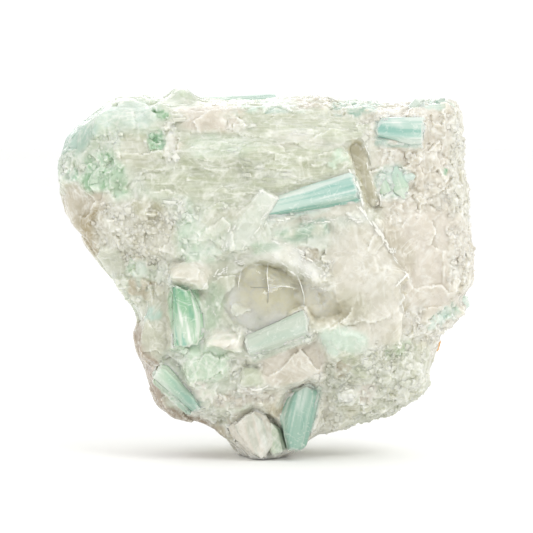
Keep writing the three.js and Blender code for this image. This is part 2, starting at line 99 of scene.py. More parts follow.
# Whiter than snow: for the white veins, and for the flake above the window, where it is also a painted highlight.
BRIGHT = (0.93, 0.93, 0.88)
SNOW = shade(254, 254, 247)
MILKY = shade(224, 225, 210)
ROSE = shade(232, 225, 212)
PALE_TAN = shade(217, 210, 193)
TAN = shade(203, 194, 168)
SHADOW_TAN = shade(182, 166, 146)
DEEP_TAN = shade(190, 179, 148)
OLIVE = shade(192, 198, 168)
GREY_GREEN = shade(208, 214, 192)
PALE_GREEN = shade(216, 230, 210)
MINT = shade(198, 220, 195)
GREEN = shade(163, 204, 162)
DEEP_GREEN = shade(128, 184, 142)
PALE_AQUA = shade(224, 236, 224)
AQUA = shade(198, 222, 208)
PALE_MINT = shade(202, 213, 196)
TEAL = shade(160, 192, 174)
BLUE_TEAL = shade(138, 192, 182)
OCHRE = shade(250, 186, 104)

# Kinds of surface: how much of each is slab, with fine ledges along it, rough, and sugary.
SLAB = (1, 0, 0)
SMOOTH = (0, 0, 0)
ROUGH = (0, 1, 0)
SUGARY = (0, 0.4, 1)

# Coloured parts of the front: x and z of the middle, width and height, turn in degrees, colour and kind of
# surface. Later ones lie over earlier ones.
ZONES = [
    ("upper band", (-4, 60), (44, 22), 0, GREY_GREEN, SLAB),
    ("right column", (31.4, 58), (19, 29), 0, between(ROSE, PALE_TAN, 0.6), ROUGH),
    ("right column core", (32.8, 52.6), (8, 8), 0, PALE_TAN, ROUGH),
    ("right edge", (39, 56), (5, 30), 0, between(ROSE, MILKY, 0.5), SUGARY),
    ("right lump", (33.8, 39), (18, 19), 10, ROSE, SMOOTH),
    ("right rough band", (38.6, 40), (6, 14), 0, ROSE, SUGARY),
    ("lower right", (23.4, 14.6), (23, 17), 14, between(MILKY, GREY_GREEN, 0.4), SUGARY),
    ("left tan slab", (-36, 47.6), (11, 15), 15, between(PALE_TAN, TAN, 0.3), SMOOTH),
    ("left tan core", (-33.2, 45.6), (7.4, 9), 15, shade(180, 166, 130), SMOOTH),
    ("left rough", (-25.4, 44.8), (15, 13), -8, between(MILKY, PALE_TAN, 0.4), SUGARY),
    ("shadow side", (-24.4, 16), (7.4, 22), 12, SHADOW_TAN, SMOOTH),
    ("shadow foot", (-16.4, 6.6), (16, 5), -14, shade(162, 145, 124), SMOOTH),
    ("left rim", (-38, 63.4), (14.5, 5.4), 52, between(AQUA, TEAL, 0.25), SMOOTH),
    ("upper left slab", (-28.4, 68.2), (15, 5), 2, between(PALE_AQUA, AQUA, 0.3), SMOOTH),
    # Painted shadow: the dark olive line under the upper left slab is the slab's shade.
    ("under the slab", (-26.2, 63.8), (5, 1.8), 0, OLIVE, SMOOTH),
    ("left green", (-32.8, 57), (9.4, 7.6), 10, between(MINT, GREEN, 0.75), ROUGH),
    ("left rim rough", (-38.4, 58.6), (5, 6), 0, between(AQUA, MILKY, 0.3), SUGARY),
    ("green streak", (-29, 54.4), (4, 5.4), 30, between(MINT, GREEN, 0.4), ROUGH),
    ("inner block", (-25.8, 60.4), (7.6, 6), -20, between(GREY_GREEN, MILKY, 0.6), SLAB),
    ("white sparks", (-19.2, 62), (3, 8), 10, SNOW, SUGARY),
    ("upper green spot", (-20.6, 68.4), (3.4, 1.8), 0, GREEN, ROUGH),
    ("middle green spot", (-21.6, 63.4), (4, 3.8), -10, between(GREEN, DEEP_GREEN, 0.5), ROUGH),
    ("tip green spot", (-38.4, 56.6), (2, 2.2), 0, DEEP_GREEN, ROUGH),
    ("tan patch", (-16.6, 62.4), (3.4, 3), 0, TAN, ROUGH),
    ("rose slab", (-10.6, 68), (14, 5.8), 0, between(ROSE, PALE_TAN, 0.4), SMOOTH),
    ("aqua slab", (0.6, 70), (12.4, 3.6), 0, between(PALE_AQUA, AQUA, 0.5), SMOOTH),
    ("tan rough", (10, 71), (8, 2.6), 0, PALE_TAN, ROUGH),
    ("wedge", (18, 70), (10, 3.6), 12, between(AQUA, TEAL, 0.6), SMOOTH),
    ("white corner", (23, 68.4), (3, 3), 0, SNOW, SUGARY),
    ("grey rail", (6.6, 66.4), (25, 4), -3, between(GREY_GREEN, OLIVE, 0.25), SLAB),
    ("left of the rail", (-5.6, 66), (4, 3), 0, between(SNOW, MILKY, 0.5), ROUGH),
    ("upper green rail", (-9.6, 61.8), (13, 4.6), 0, between(PALE_GREEN, GREY_GREEN, 0.3), SLAB),
    ("above the middle slab", (8.6, 62.6), (13, 2.8), -4, between(MILKY, SNOW, 0.2), SLAB),
    ("middle slab", (5.6, 57), (21, 8.4), 2, between(GREY_GREEN, OLIVE, 0.5), SLAB),
    ("left long slab", (-15.4, 55.6), (21, 7), -2, between(GREY_GREEN, OLIVE, 0.45), SLAB),
    ("below the long slab", (-8.6, 46.8), (9, 5), 24, between(GREY_GREEN, PALE_TAN, 0.3), SMOOTH),
    ("below the long prism", (6, 49.2), (15, 3), 12, between(PALE_AQUA, SNOW, 0.3), SMOOTH),
    ("above the disc", (-4.6, 19.4), (6, 3), 0, between(MILKY, SNOW, 0.5), SMOOTH),
    ("white rail", (5.8, 64.2), (9, 1.8), -3, SNOW, SLAB),
    ("green facet", (14.4, 59.6), (5, 3.6), 0, between(PALE_GREEN, MINT, 0.5), SMOOTH),
    ("olive patch", (-23.8, 49.8), (7.4, 3.4), -3, between(TAN, OLIVE, 0.5), SMOOTH),
    ("pale grey piece", (-31, 39.2), (5, 6), 10, between(GREY_GREEN, MILKY, 0.6), SMOOTH),
    ("tan hollow", (-24, 33.8), (9, 4), -10, TAN, SMOOTH),
    ("small cube", (-25, 37.8), (3.4, 3.2), 30, PALE_AQUA, SMOOTH),
    ("small green", (-26.9, 38), (1.5, 3.6), -24, between(GREEN, OLIVE, 0.4), SMOOTH),
    ("green band", (-15.4, 46), (4.4, 12), 12, between(PALE_GREEN, MINT, 0.5), ROUGH),
    ("white beside the band", (-17.4, 50.4), (4, 4), 20, between(PALE_GREEN, SNOW, 0.6), SUGARY),
    ("veils", (9, 44.4), (24, 6), 8, between(MILKY, PALE_AQUA, 0.4), SMOOTH),
    ("lens body", (20, 35), (14, 24), 8, between(ROSE, MILKY, 0.4), SMOOTH),
    ("lens body olive", (16.4, 29.4), (8, 8), 30, between(PALE_TAN, OLIVE, 0.3), SMOOTH),
    ("lens rim", (-8, 36), (10, 10), 20, between(MILKY, GREY_GREEN, 0.4), SMOOTH),
    ("white right of the lens", (10, 38), (7, 3), -20, between(SNOW, MILKY, 0.3), ROUGH),
    ("rose chunk", (-15.2, 37), (8, 4.8), -10, between(ROSE, MILKY, 0.5), SMOOTH),
    ("pale upright", (-21.4, 26.8), (6, 14.6), -4, between(GREY_GREEN, PALE_TAN, 0.4), SMOOTH),
    ("edge cube", (-22.6, 29), (3, 3), 20, AQUA, SMOOTH),
    ("under the upright", (-15.8, 22), (5.6, 4.4), 0, MINT, ROUGH),
    ("cream ledge", (-8, 24), (8.6, 3.8), -3, between(ROSE, SNOW, 0.4), SLAB),
    ("olive slope", (-10.4, 30.4), (4.4, 9), -20, between(MINT, GREY_GREEN, 0.4), SMOOTH),
    ("under the lens", (-3, 27.4), (9, 2.6), 0, between(GREY_GREEN, MILKY, 0.3), SMOOTH),
    ("lower lens facet", (10.8, 27), (6, 3), 0, MILKY, SMOOTH),
    ("small mint block", (15.2, 23.4), (9.6, 5.8), -6, between(PALE_AQUA, MINT, 0.3), SMOOTH),
    ("mint block", (-12, 18.7), (9.2, 6.6), -8, between(MINT, PALE_GREEN, 0.3), SMOOTH),
    ("beside the disc", (-5.6, 17.4), (3, 5), 0, MILKY, SMOOTH),
    ("green disc", (-2.6, 16.4), (4.2, 4.2), 0, GREY_GREEN, SMOOTH),
    ("rose field", (5.2, 19), (12.6, 7.4), 8, between(PALE_TAN, ROSE, 0.4), SMOOTH),
    ("white by the lower prism", (-18.4, 19.8), (4, 4), 0, between(PALE_GREEN, SNOW, 0.6), ROUGH),
    ("white below the mint", (-13.6, 13.4), (5.4, 3.6), 0, between(ROSE, SNOW, 0.4), ROUGH),
    ("lower rose", (-4.6, 12), (12, 3.6), 0, between(PALE_TAN, ROSE, 0.4), ROUGH),
    ("dark tan", (2, 9.6), (4, 3), 0, TAN, SMOOTH),
    ("small green bit", (-4, 9.8), (3.4, 2), 20, GREY_GREEN, SMOOTH),
    ("left of the foot", (-8, 5.4), (4, 4), 0, TAN, SMOOTH),
    # Painted light: the foot is coloured lighter to offset the shade that the floor leaves on it.
    ("foot", (0, 1), (14, 5), 0, between(ROSE, SNOW, 0.6), SMOOTH),
    ("olive area", (25.8, 21.6), (6.6, 2.6), 18, between(OLIVE, GREEN, 0.3), ROUGH),
    ("striped block", (17.4, 18.4), (6.6, 3.8), -28, OLIVE, SLAB),
    ("brown corner", (15, 17.8), (2.6, 3), 0, TAN, SMOOTH),
    ("white cap", (15.8, 12.9), (3.8, 3), 0, between(SNOW, MILKY, 0.4), ROUGH),
    ("olive hollow", (16.6, 9.8), (4, 3.4), -20, between(TAN, OLIVE, 0.5), SMOOTH),
    ("rose grain", (19.8, 13), (3.6, 4), 0, ROSE, SMOOTH),
    ("cluster", (24.8, 55), (6.4, 7), 0, between(AQUA, PALE_AQUA, 0.4), ROUGH),
    ("pale flake", (23.2, 53.2), (2.6, 2.6), 0, between(MILKY, SNOW, 0.5), SMOOTH),
    # Painted shade: the hollow right of the lens body is coloured darker tan for the shade in it.
    ("beside the lens", (26, 42), (4.4, 11), 34, between(PALE_TAN, TAN, 0.3), SMOOTH),
    ("lower right aqua", (35.6, 28.4), (7, 3), 32, AQUA, ROUGH),
    ("top right aqua", (32.6, 71), (8, 2.6), 0, between(AQUA, PALE_AQUA, 0.5), SMOOTH),
    ("dark green speck", (35.4, 57.2), (0.9, 1.2), 0, DEEP_GREEN, SMOOTH),
    ("upper notch", (27.2, 34.6), (1.6, 3), 20, TAN, SMOOTH),
    ("lower notch", (28.4, 29.8), (1.4, 3.8), 35, TAN, SMOOTH),
]
# Coloured parts with a crisp edge, by their outline in x and z.
BLADE = [(-8.5, 41.5), (-7, 45.5), (-1, 53.8), (2.6, 51.8), (-1.8, 45.2), (-4.5, 41)]
CREVICE = [
    (16.1, 61.4), (17, 63.3), (18.8, 62.9), (20.2, 58), (21.8, 53), (22, 51), (20.5, 49.5), (19.5, 51),
    (18.6, 55), (17, 57.5),
]
FLAKE = [(-1.9, 42.8), (4.8, 42.9), (6.6, 40.8), (12, 35.6), (9.6, 35.6), (6.4, 37.8), (3.4, 39.6), (-0.6, 40.4)]
OUTLINED = [
    ("crevice", CREVICE, between(TAN, OLIVE, 0.3), SMOOTH),
    # The flake is white quartz with a painted highlight: it is coloured brighter than snow.
    ("flake", FLAKE, BRIGHT, SMOOTH),
    ("speckled patch", [(6.2, 42), (10.2, 41.8), (10.4, 39.6), (7.4, 39.4)], between(PALE_TAN, TAN, 0.6), SUGARY),
    ("quartz blade", BLADE, between(MILKY, PALE_AQUA, 0.4), SMOOTH),
]
# Zones that stay open when creases are filled, and by how much, and zones that are rounded lumps.
OPEN_ZONES = {"upper notch": 0.8, "lower notch": 0.8, "tan hollow": 0.5, "olive hollow": 0.5}
ROUND_ZONES = ("rose chunk", "cream ledge", "mint block", "pale upright", "small mint block", "rose field")
ZONE_EDGE = 0.45
SMALL_ZONE = 4.2
ZONE_FRAY = 1.1

# The long prism: the colours of its ends, and a darker colour for its lower side, which is painted shade.
LONG_ENDS = (between(PALE_AQUA, AQUA, 0.5), between(AQUA, BLUE_TEAL, 0.5))
LONG_SHADED_UNDERSIDE = between(TEAL, AQUA, 0.3)
# Tourmaline prisms and pointed crystals, as the frame has them: the middles of both ends, and the radius.
PRISMS = [
    ("long_prism", (-1.8, -19.6, 49.5), (18, -20, 54.2), 2.4, dict(contrast=0.8, lap=0.7, ends=LONG_ENDS, under=LONG_SHADED_UNDERSIDE, cover=BLADE)),
    ("long_prism_root", (-13.8, -19.2, 44.4), (-0.8, -19.6, 50.2), 2.4, dict(roll=50, ends=(PALE_GREEN, PALE_AQUA))),
    ("low_root_prism", (-15.4, -18.8, 39.8), (-4, -19.6, 43.6), 1.9, dict(roll=10, ends=(MINT, AQUA))),
    ("under_prism", (-2.6, -20.4, 43), (11.8, -20.2, 47.1), 1.6, dict(roll=5, ends=(MINT, TEAL))),
    ("blue_stub", (21.8, -17.6, 65.3), (31, -17.8, 65.1), 2.8, dict(contrast=0.8, ends=(between(BLUE_TEAL, AQUA, 0.7), between(BLUE_TEAL, AQUA, 0.9)))),
    ("green_upright", (-15.2, -18.4, 23), (-16.9, -19.6, 35.2), 3.4, dict(contrast=1, ends=(between(MINT, GREEN, 0.4), between(DEEP_GREEN, GREEN, 0.3)))),
    ("pale_mint_prism", (-3.4, -20.4, 22.8), (7.8, -21.4, 27.2), 3, dict(contrast=0.2, ends=(PALE_MINT, PALE_MINT))),
    ("lower_left_prism", (-21.6, -15.6, 17.6), (-13.8, -17.2, 10.6), 2.5, dict(lap=0.4, ends=(MINT, TEAL))),
    ("teal_prism", (7.8, -13.6, 14.8), (5.6, -14, 3.4), 3.4, dict(lap=0.5, ends=(TEAL, TEAL))),
    ("pointed_foot_crystal", (-3.9, -13.2, 10.4), (-1.2, -12.4, 2.3), 4.3, dict(contrast=0.3, lap=0.6, ends=(between(ROSE, PALE_TAN, 0.7), ROSE))),
    ("olive_foot_crystal", (1.6, -10.6, 10), (2.8, -11.2, 2), 2.7, dict(lap=0.3, face=1.5, ends=(between(PALE_GREEN, OLIVE, 0.5), between(OLIVE, PALE_GREEN, 0.5)))),
    ("green_splinter_one", (22.6, -15, 58.4), (24, -17, 52.6), 1.3, dict(tip=1, ends=(AQUA, MINT))),
    ("green_splinter_two", (25.2, -15, 58.2), (27, -17.4, 53), 1.6, dict(tip=1, ends=(AQUA, MINT))),
    ("green_splinter_three", (23, -14, 54.6), (28.6, -16.6, 56.4), 1.3, dict(tip=1, ends=(MINT, AQUA))),
    ("right_edge_prism", (32.6, -7.6, 26.6), (40.2, -4.6, 31.6), 1.6, dict(tip=0.6, ends=(PALE_AQUA, between(PALE_AQUA, AQUA, 0.4)))),
    ("top_right_prism_one", (27.4, -9, 67), (31, -9.6, 71.4), 1.5, dict(tip=0.6, ends=(AQUA, PALE_AQUA))),
    ("top_right_prism_two", (33, -7.4, 67.6), (35.4, -7.6, 71.2), 1.5, dict(tip=0.7, ends=(AQUA, TEAL))),
    ("top_rear_prism", (-22, 4, 69), (2, 7, 69.8), 2.8, dict(roll=30, ends=(MINT, TEAL))),
    ("back_long_prism", (-20, 19, 58), (12, 20.4, 46), 3, dict(roll=12, ends=(AQUA, BLUE_TEAL))),
    ("back_upright_prism", (20, 17, 22), (17, 19.4, 40), 2.7, dict(tip=0.6, ends=(PALE_GREEN, TEAL))),
    ("back_low_prism", (-16, 13.6, 24), (-6, 18.6, 12), 2.8, dict(tip=0.4, ends=(MINT, GREEN))),
    ("back_thin_prism", (4, 19.6, 64), (22, 16.6, 61), 1.9, dict(tip=0.6, ends=(TEAL, BLUE_TEAL))),
    ("right_side_prism", (36, 7, 62), (38.6, 1, 47), 2.2, dict(tip=0.5, ends=(AQUA, TEAL))),
    ("left_side_prism", (-36, 8, 62), (-32.6, 7, 42), 2.4, dict(tip=0.5, ends=(MINT, TEAL))),
]
# Quartz that has grown over the front: the outline of each piece in x and z, and its front and back depth.
BLADE_FACE = (-21.6, -22.6)
OVERGROWTHS = [
    (BLADE, (-22.8, -18)),
    ([(18.4, 66.8), (21.6, 67), (22.4, 64.6), (21.2, 62.6), (18.6, 63)], (-18.6, -10)),
    ([(-12, 15.6), (-9, 16.4), (-6.6, 15.4), (-7, 13), (-10.6, 12.6)], (-17.6, -10)),
    ([(31.6, 23.6), (35, 24.2), (38, 27.2), (40.9, 30), (40, 31.4), (36.2, 29), (32.4, 26.6)], (-9.8, -2)),
]
# White veins that stand out of the front: x and z of their points, and how thick, in mm.
VEINS = [
    ([(17, 56.7), (18.3, 54.5), (19, 52.5), (19.6, 50.4)], 0.5),
    ([(19.4, 62.2), (20.4, 58), (22, 53), (22.2, 50.8)], 0.35),
    ([(0, 48), (5, 47.6), (12, 47.3), (20, 47.5)], 0.35),
    ([(2, 50.2), (10, 51.2), (18, 52.3)], 0.3),
    ([(-8.5, 41.7), (-7, 45.5), (-1, 53.8), (2.6, 51.8)], 0.3),
    ([(2.6, 51.8), (-1.8, 45.2), (-4.5, 41.4)], 0.3),
    ([(-13, 33), (-9.5, 37), (-4.6, 39.3)], 0.35),
    ([(-13, 33), (-10.5, 29), (-8, 25.8)], 0.3),
    ([(18.5, 50.3), (23.5, 43.6), (28.3, 36.6), (26.3, 34.9)], 0.45),
    ([(26.4, 34.6), (27.6, 32.6), (27.1, 30.6), (30.8, 25.3)], 0.4),
    ([(-5.5, 14.2), (-2.6, 13.6), (0, 14.2)], 0.4),
]
FLAKE_VEINS = 5
FLAKE_TURN = -38
VEIN_STEP = 0.22
SECTION_OFFSETS = (-21, 21)
QUARTZ_CRYSTALS = ("pointed_foot_crystal", "olive_foot_crystal")
# Prisms that have sunk into the quartz: they only colour it and mark it with streaks.
SUNKEN = ("long_prism_root", "low_root_prism", "under_prism")
# Crystals of the front that show in full: x and z of their corners, as the picture shows them.
OUTLINES = {
    "long_prism": [(-1.6, 47.8), (-0.8, 51.4), (16.3, 56.9), (17.3, 56.4), (18.5, 51.2), (17.8, 50.7)],
    "blue_stub": [
        (21.4, 65.3), (22.9, 67.7), (30.9, 67.7), (31.1, 66.4), (30.7, 62.4), (28.5, 62.3), (26, 63.6), (22, 63.9),
    ],
    "green_upright": [(-18.4, 34.8), (-14.8, 33.8), (-12.5, 29), (-12.1, 25), (-13.2, 22.8), (-18.2, 22.6)],
    "pale_mint_prism": [(7.4, 29.9), (8.2, 28.2), (8.1, 24.4), (-3, 20.4), (-4.1, 22.6), (-3.9, 24.9)],
    "lower_left_prism": [(-22.6, 16.4), (-21.1, 18.9), (-19.4, 18.7), (-14.4, 13.1), (-12.9, 10.4), (-14.6, 9.5)],
    "teal_prism": [
        (5, 13.6), (8.5, 15.1), (10, 14), (10.7, 12.6), (8.8, 5.5), (8, 2.7), (7, 1.9), (4.4, 1.9), (2.7, 8.5),
        (3.9, 11.6),
    ],
    "pointed_foot_crystal": [
        (-2, 10), (-7.6, 6.6), (-7, 5), (-4, 2.4), (-3.4, 1.4), (-0.5, 0.1), (2, 3.5), (1, 7), (0, 8.8),
    ],
    "olive_foot_crystal": [(0.5, 8), (3.2, 6), (4.2, 3), (4.4, 1.9), (1, 0.5), (-1, 4)],
}
# A crystal of the front: how deep its side, the edge and the face of its front lie, in radii from its axis, how
# wide the face is as a share of the crystal, the slope beside the face in mm, and the grain of its mesh in mm.
SIDE_DEPTH = -0.4
EDGE_DEPTH = 0.45
FACE_DEPTH = 0.95
FACE_WIDTH = 0.55
FACE_SLOPE = 1.1
CRYSTAL_GRAIN = 0.24
STREAK_TONE = np.array((1.6, 0.8, 0.9))
MOST_PULL = 2.6
PRISM_SIDES = 84
PRISM_STEP = 0.32
CAP_RINGS = 6

# The clear quartz: two lumps that have grown together. The first is as the frame has it.
LENS_LUMPS = [
    dict(middle=(-0.4, -16, 31.4), size=(25, 18, 19), turn=(0, 8, 0), seed=1, count=34),
    dict(middle=(9.6, -15, 32.4), size=(18, 17, 15), turn=(0, -14, 4), seed=3, count=30),
]
LENS_GRAIN = 0.4
SHADE_OF_DEPTH = np.array((0.86, 0.84, 0.76))
# The window of clear quartz: its outline in x and z, where its edge is steep and where it runs out softly, how
# deep it is, and the colours of its floor to the left and right.
WINDOW = [
    (-6.4, 36.8), (-4.4, 39.3), (0.5, 39.7), (4, 38.9), (6, 36.9), (9.6, 36), (13.4, 34.8), (16.6, 32.4),
    (17.8, 28.6), (15.4, 25.2), (10, 25.4), (0, 26.8), (-5, 28.6), (-7.6, 32.4),
]
WINDOW_DEPTH = 0.7
MOST_SUNK = 2.6
STEEP_EDGE = 2.2
SOFT_EDGE = 4.4
WINDOW_GRAIN = 0.8
WINDOW_COLOURS = (shade(216, 209, 170), shade(220, 212, 182))
# Light through clear quartz: the share that passes in and out once, the share held back, in a single bounce.
SINGLE_PASS = 0.27
HELD_BACK = 0.59
LENS_SUNK = 0.1
LENS_BACK = -12
GOLDEN_ANGLE = math.pi * (3 - math.sqrt(5))


def hashed(cells, k):
    """A repeatable number from 0 to 1 for each integer cell: its k-th draw."""
    h = (cells[..., 0] * 73856093) ^ (cells[..., 1] * 19349663) ^ (cells[..., 2] * 83492791)
    h = (h ^ (k * 2654435761)) & 0xFFFFFFFF
    h = ((h ^ (h >> 15)) * 2246822519) & 0xFFFFFFFF
    h = ((h ^ (h >> 13)) * 3266489917) & 0xFFFFFFFF
    return ((h ^ (h >> 16)) & 0xFFFFFF) / 0xFFFFFF


def draws(numbers, seed, k):
    """A repeatable number from 0 to 1 for each whole number."""
    numbers = np.asarray(numbers, np.int64)
    return hashed(np.stack([numbers, numbers * 0 + seed, numbers // 977], -1), k)


def chance(seed, k):
    """A repeatable number from 0 to 1, the same that the frame's own shapes were drawn with."""
    s = math.sin(seed * 12.9898 + k * 78.233) * 43758.5453
    return s - math.floor(s)


def value_noise(points, size, seed):
    """Smooth noise from -1 to 1."""
    scaled = np.asarray(points, float) / size
    base = np.floor(scaled).astype(np.int64)
    f = scaled - base
    f = f * f * (3 - 2 * f)
    total = np.zeros(len(points))
    for dx in (0, 1):
        for dy in (0, 1):
            for dz in (0, 1):
                weight = (
                    (f[:, 0] if dx else 1 - f[:, 0])
                    * (f[:, 1] if dy else 1 - f[:, 1])
                    * (f[:, 2] if dz else 1 - f[:, 2])
                )
                total += weight * hashed(base + np.array((dx, dy, dz)), seed)
    return total * 2 - 1


def cloudy(points, size, seed, octaves=3):
    total = np.zeros(len(points))
    for octave in range(octaves):
        total += value_noise(points, size / 2**octave, seed + octave) / 2**octave
    return total


def nearest_cells(points, size, seed):
    """The jittered cell nearest to each point, and the offset from its middle in cells."""
    scaled = np.asarray(points, float) / size
    base = np.floor(scaled).astype(np.int64)
    near = np.full(len(points), 99.0)
    offset = np.zeros((len(points), 3))
    owner = np.zeros((len(points), 3), np.int64)
    for dx in (-1, 0, 1):
        for dy in (-1, 0, 1):
            for dz in (-1, 0, 1):
                cell = base + np.array((dx, dy, dz))
                jitter = np.stack([hashed(cell, seed + k) for k in range(3)], 1)
                away = scaled - (cell + 0.1 + 0.8 * jitter)
                distance = (away**2).sum(1)
                closer = distance < near
                near = np.where(closer, distance, near)
                offset[closer] = away[closer]
                owner[closer] = cell[closer]
    return owner, offset


def facets(points, size, seed, step, tilt, stretch=(1, 1, 1)):
    """Heights of broken faces: every cell is a plane with its own level and tilt."""
    owner, offset = nearest_cells(points / np.array(stretch), size, seed)
    level = hashed(owner, seed + 10) - 0.5
    direction = np.stack([hashed(owner, seed + 11 + k) - 0.5 for k in range(3)], 1)
    return step * level + tilt * (offset * direction).sum(1)


def where(weights, points, make):
    """Weighted heights, worked out only where the weight counts."""
    heights = np.zeros(len(points))
    some = weights > 0.01
    heights[some] = make(points[some]) * weights[some]
    return heights


def smooth_step(low, high, values):
    t = np.clip((values - low) / (high - low), 0, 1)
    return t * t * (3 - 2 * t)


def coordinates(mesh):
    flat = np.empty(len(mesh.vertices) * 3, np.float32)
    mesh.vertices.foreach_get("co", flat)
    return flat.reshape(-1, 3).astype(float)


def normals(mesh):
    flat = np.empty(len(mesh.vertices) * 3, np.float32)
    mesh.vertex_normals.foreach_get("vector", flat)
    return flat.reshape(-1, 3).astype(float)


def set_coordinates(mesh, points):
    mesh.vertices.foreach_set("co", np.asarray(points, np.float32).ravel())
    mesh.update()


def neighbour_mean(mesh, values):
    """For every vertex, the mean of its neighbours' values."""
    pairs = np.empty(len(mesh.edges) * 2, np.int32)
    mesh.edges.foreach_get("vertices", pairs)
    a, b = pairs.reshape(-1, 2).T
    count = np.bincount(a, minlength=len(values)) + np.bincount(b, minlength=len(values))
    columns = values.reshape(len(values), -1)
    total = [
        np.bincount(a, column[b], len(values)) + np.bincount(b, column[a], len(values))
        for column in columns.T
    ]
    return (np.stack(total, 1) / np.maximum(count, 1)[:, None]).reshape(values.shape)


def mixed(first, second, share):
    """Rows of colours, mixed by one share or by a share for each row."""
    share = np.reshape(share, (-1, 1))
    return np.asarray(first) * (1 - share) + np.asarray(second) * share


def paint(mesh, name, colours):
    attribute = mesh.attributes.new(name, "FLOAT_COLOR", "POINT")
    rgba = np.ones((len(mesh.vertices), 4), np.float32)
    rgba[:, :3] = np.clip(colours, 0, 1)
    attribute.data.foreach_set("color", rgba.ravel())


def measure(mesh, name, values):
    attribute = mesh.attributes.new(name, "FLOAT", "POINT")
    attribute.data.foreach_set("value", np.asarray(values, np.float32))


def mesh_of_triangles(name, points, triangles):
    mesh = bpy.data.meshes.new(name)
    mesh.vertices.add(len(points))
    mesh.vertices.foreach_set("co", np.asarray(points * MM, np.float32).ravel())
    mesh.loops.add(len(triangles) * 3)
    mesh.loops.foreach_set("vertex_index", np.asarray(triangles, np.int32).ravel())
    mesh.polygons.add(len(triangles))
    mesh.polygons.foreach_set("loop_start", np.arange(len(triangles), dtype=np.int32) * 3)
    mesh.update(calc_edges=True)
    return mesh


def new_piece(name, mesh, material):
    piece = bpy.data.objects.new(name, mesh)
    bpy.context.scene.collection.objects.link(piece)
    mesh.materials.clear()
    mesh.materials.append(material)
    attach(piece, "root")
    return piece


def with_modifier(mesh, kind, **settings):
    """The mesh after one modifier."""
    holder = bpy.data.objects.new("holder", mesh)
    bpy.context.scene.collection.objects.link(holder)
    modifier = holder.modifiers.new("change", kind)
    for name, value in settings.items():
        setattr(modifier, name, value)
    graph = bpy.context.evaluated_depsgraph_get()
    changed = bpy.data.meshes.new_from_object(holder.evaluated_get(graph))
    bpy.data.objects.remove(holder)
    return changed


def section_radius(angle, radius, roll):
    """The radius of a prism's section: a triangle with bulging sides."""
    around = (np.degrees(angle) - roll) % 120
    wide = (around > SECTION_OFFSETS[1]) & (around < 120 + SECTION_OFFSETS[0])
    middle = np.where(wide, 60, np.where(around > 60, 120, 0))
    half = np.where(wide, 60 - SECTION_OFFSETS[1], SECTION_OFFSETS[1])
    side = np.cos(np.radians(half)) / np.cos(np.radians(around - middle))
    return radius * (0.8 * side + 0.2 * 0.97)


def axis_frame(start, end):
    """Unit vectors along the prism and across it, turned as the frame's prisms are."""
    along = (Vector(end) - Vector(start)).normalized()
    turn = Vector((0, 0, 1)).rotation_difference(along)
    return np.array(along), np.array(turn @ Vector((1, 0, 0))), np.array(turn @ Vector((0, 1, 0)))


def inside_prism(points, entry):
    """How far inside the prism each point is, in mm, negative outside, and the share of the way along it."""
    _, start, end, radius, options = entry
    along, across, beside = axis_frame(start, end)
    away = points - np.array(start)
    t, u, v = away @ along, away @ across, away @ beside
    length = (Vector(end) - Vector(start)).length
    share = np.clip(t / length, 0, 1)
    limit = section_radius(np.arctan2(v, u), radius, options.get("roll", 0))
    limit = limit * (1 + (options.get("taper", 1) - 1) * share)
    return np.minimum(limit - np.hypot(u, v), np.minimum(t, length - t)), share


def crystal_outline(entry):
    """A front crystal's outline at its own depth, since the camera looks down a little."""
    name, start, end, _, _ = entry
    lift = (VIEW_MIDDLE[1] - (start[1] + end[1]) / 2) * math.tan(math.radians(ELEVATION))
    return [(x, max(z + lift, 0.1)) for x, z in OUTLINES[name]]


def crystal_frame(points, entry):
    """For points in x and z: the way along a front crystal and across it in mm, and the share along it."""
    _, start, end, _, _ = entry
    base = np.array((start[0], start[2]))
    way = np.array((end[0] - start[0], end[2] - start[2]))
    length = np.linalg.norm(way)
    way /= length
    side = np.array((-way[1], way[0]))
    along = (points - base) @ way
    return along, (points - base) @ side, along / length


def crystal_corners(entry):
    """The corners of a front crystal: its outline at the side and the edge, and the narrower face in front."""
    _, start, end, radius, options = entry
    outline = np.array(crystal_outline(entry))
    along, across, share = crystal_frame(outline, entry)
    middle = (across.max() + across.min()) / 2
    origin = outline[0] - along[0] * crystal_way(entry)[0] - across[0] * crystal_way(entry)[1]
    corners = []
    for t, s, part in zip(along, across, share):
        axis = start[1] + (end[1] - start[1]) * part
        face_t = np.clip(t, along.min() + 0.5, along.max() - 0.5)
        face_s = middle + (s - middle) * FACE_WIDTH
        for a, b, reach in ((t, s, SIDE_DEPTH), (t, s, EDGE_DEPTH), (face_t, face_s, options.get("face", FACE_DEPTH))):
            x, z = origin + a * crystal_way(entry)[0] + b * crystal_way(entry)[1]
            corners.append((x, axis - reach * radius, z))
    return corners


def crystal_way(entry):
    """Unit vectors in x and z along a front crystal and across it."""
    _, start, end, _, _ = entry
    way = np.array((end[0] - start[0], end[2] - start[2]))
    way /= np.linalg.norm(way)
    return way, np.array((-way[1], way[0]))


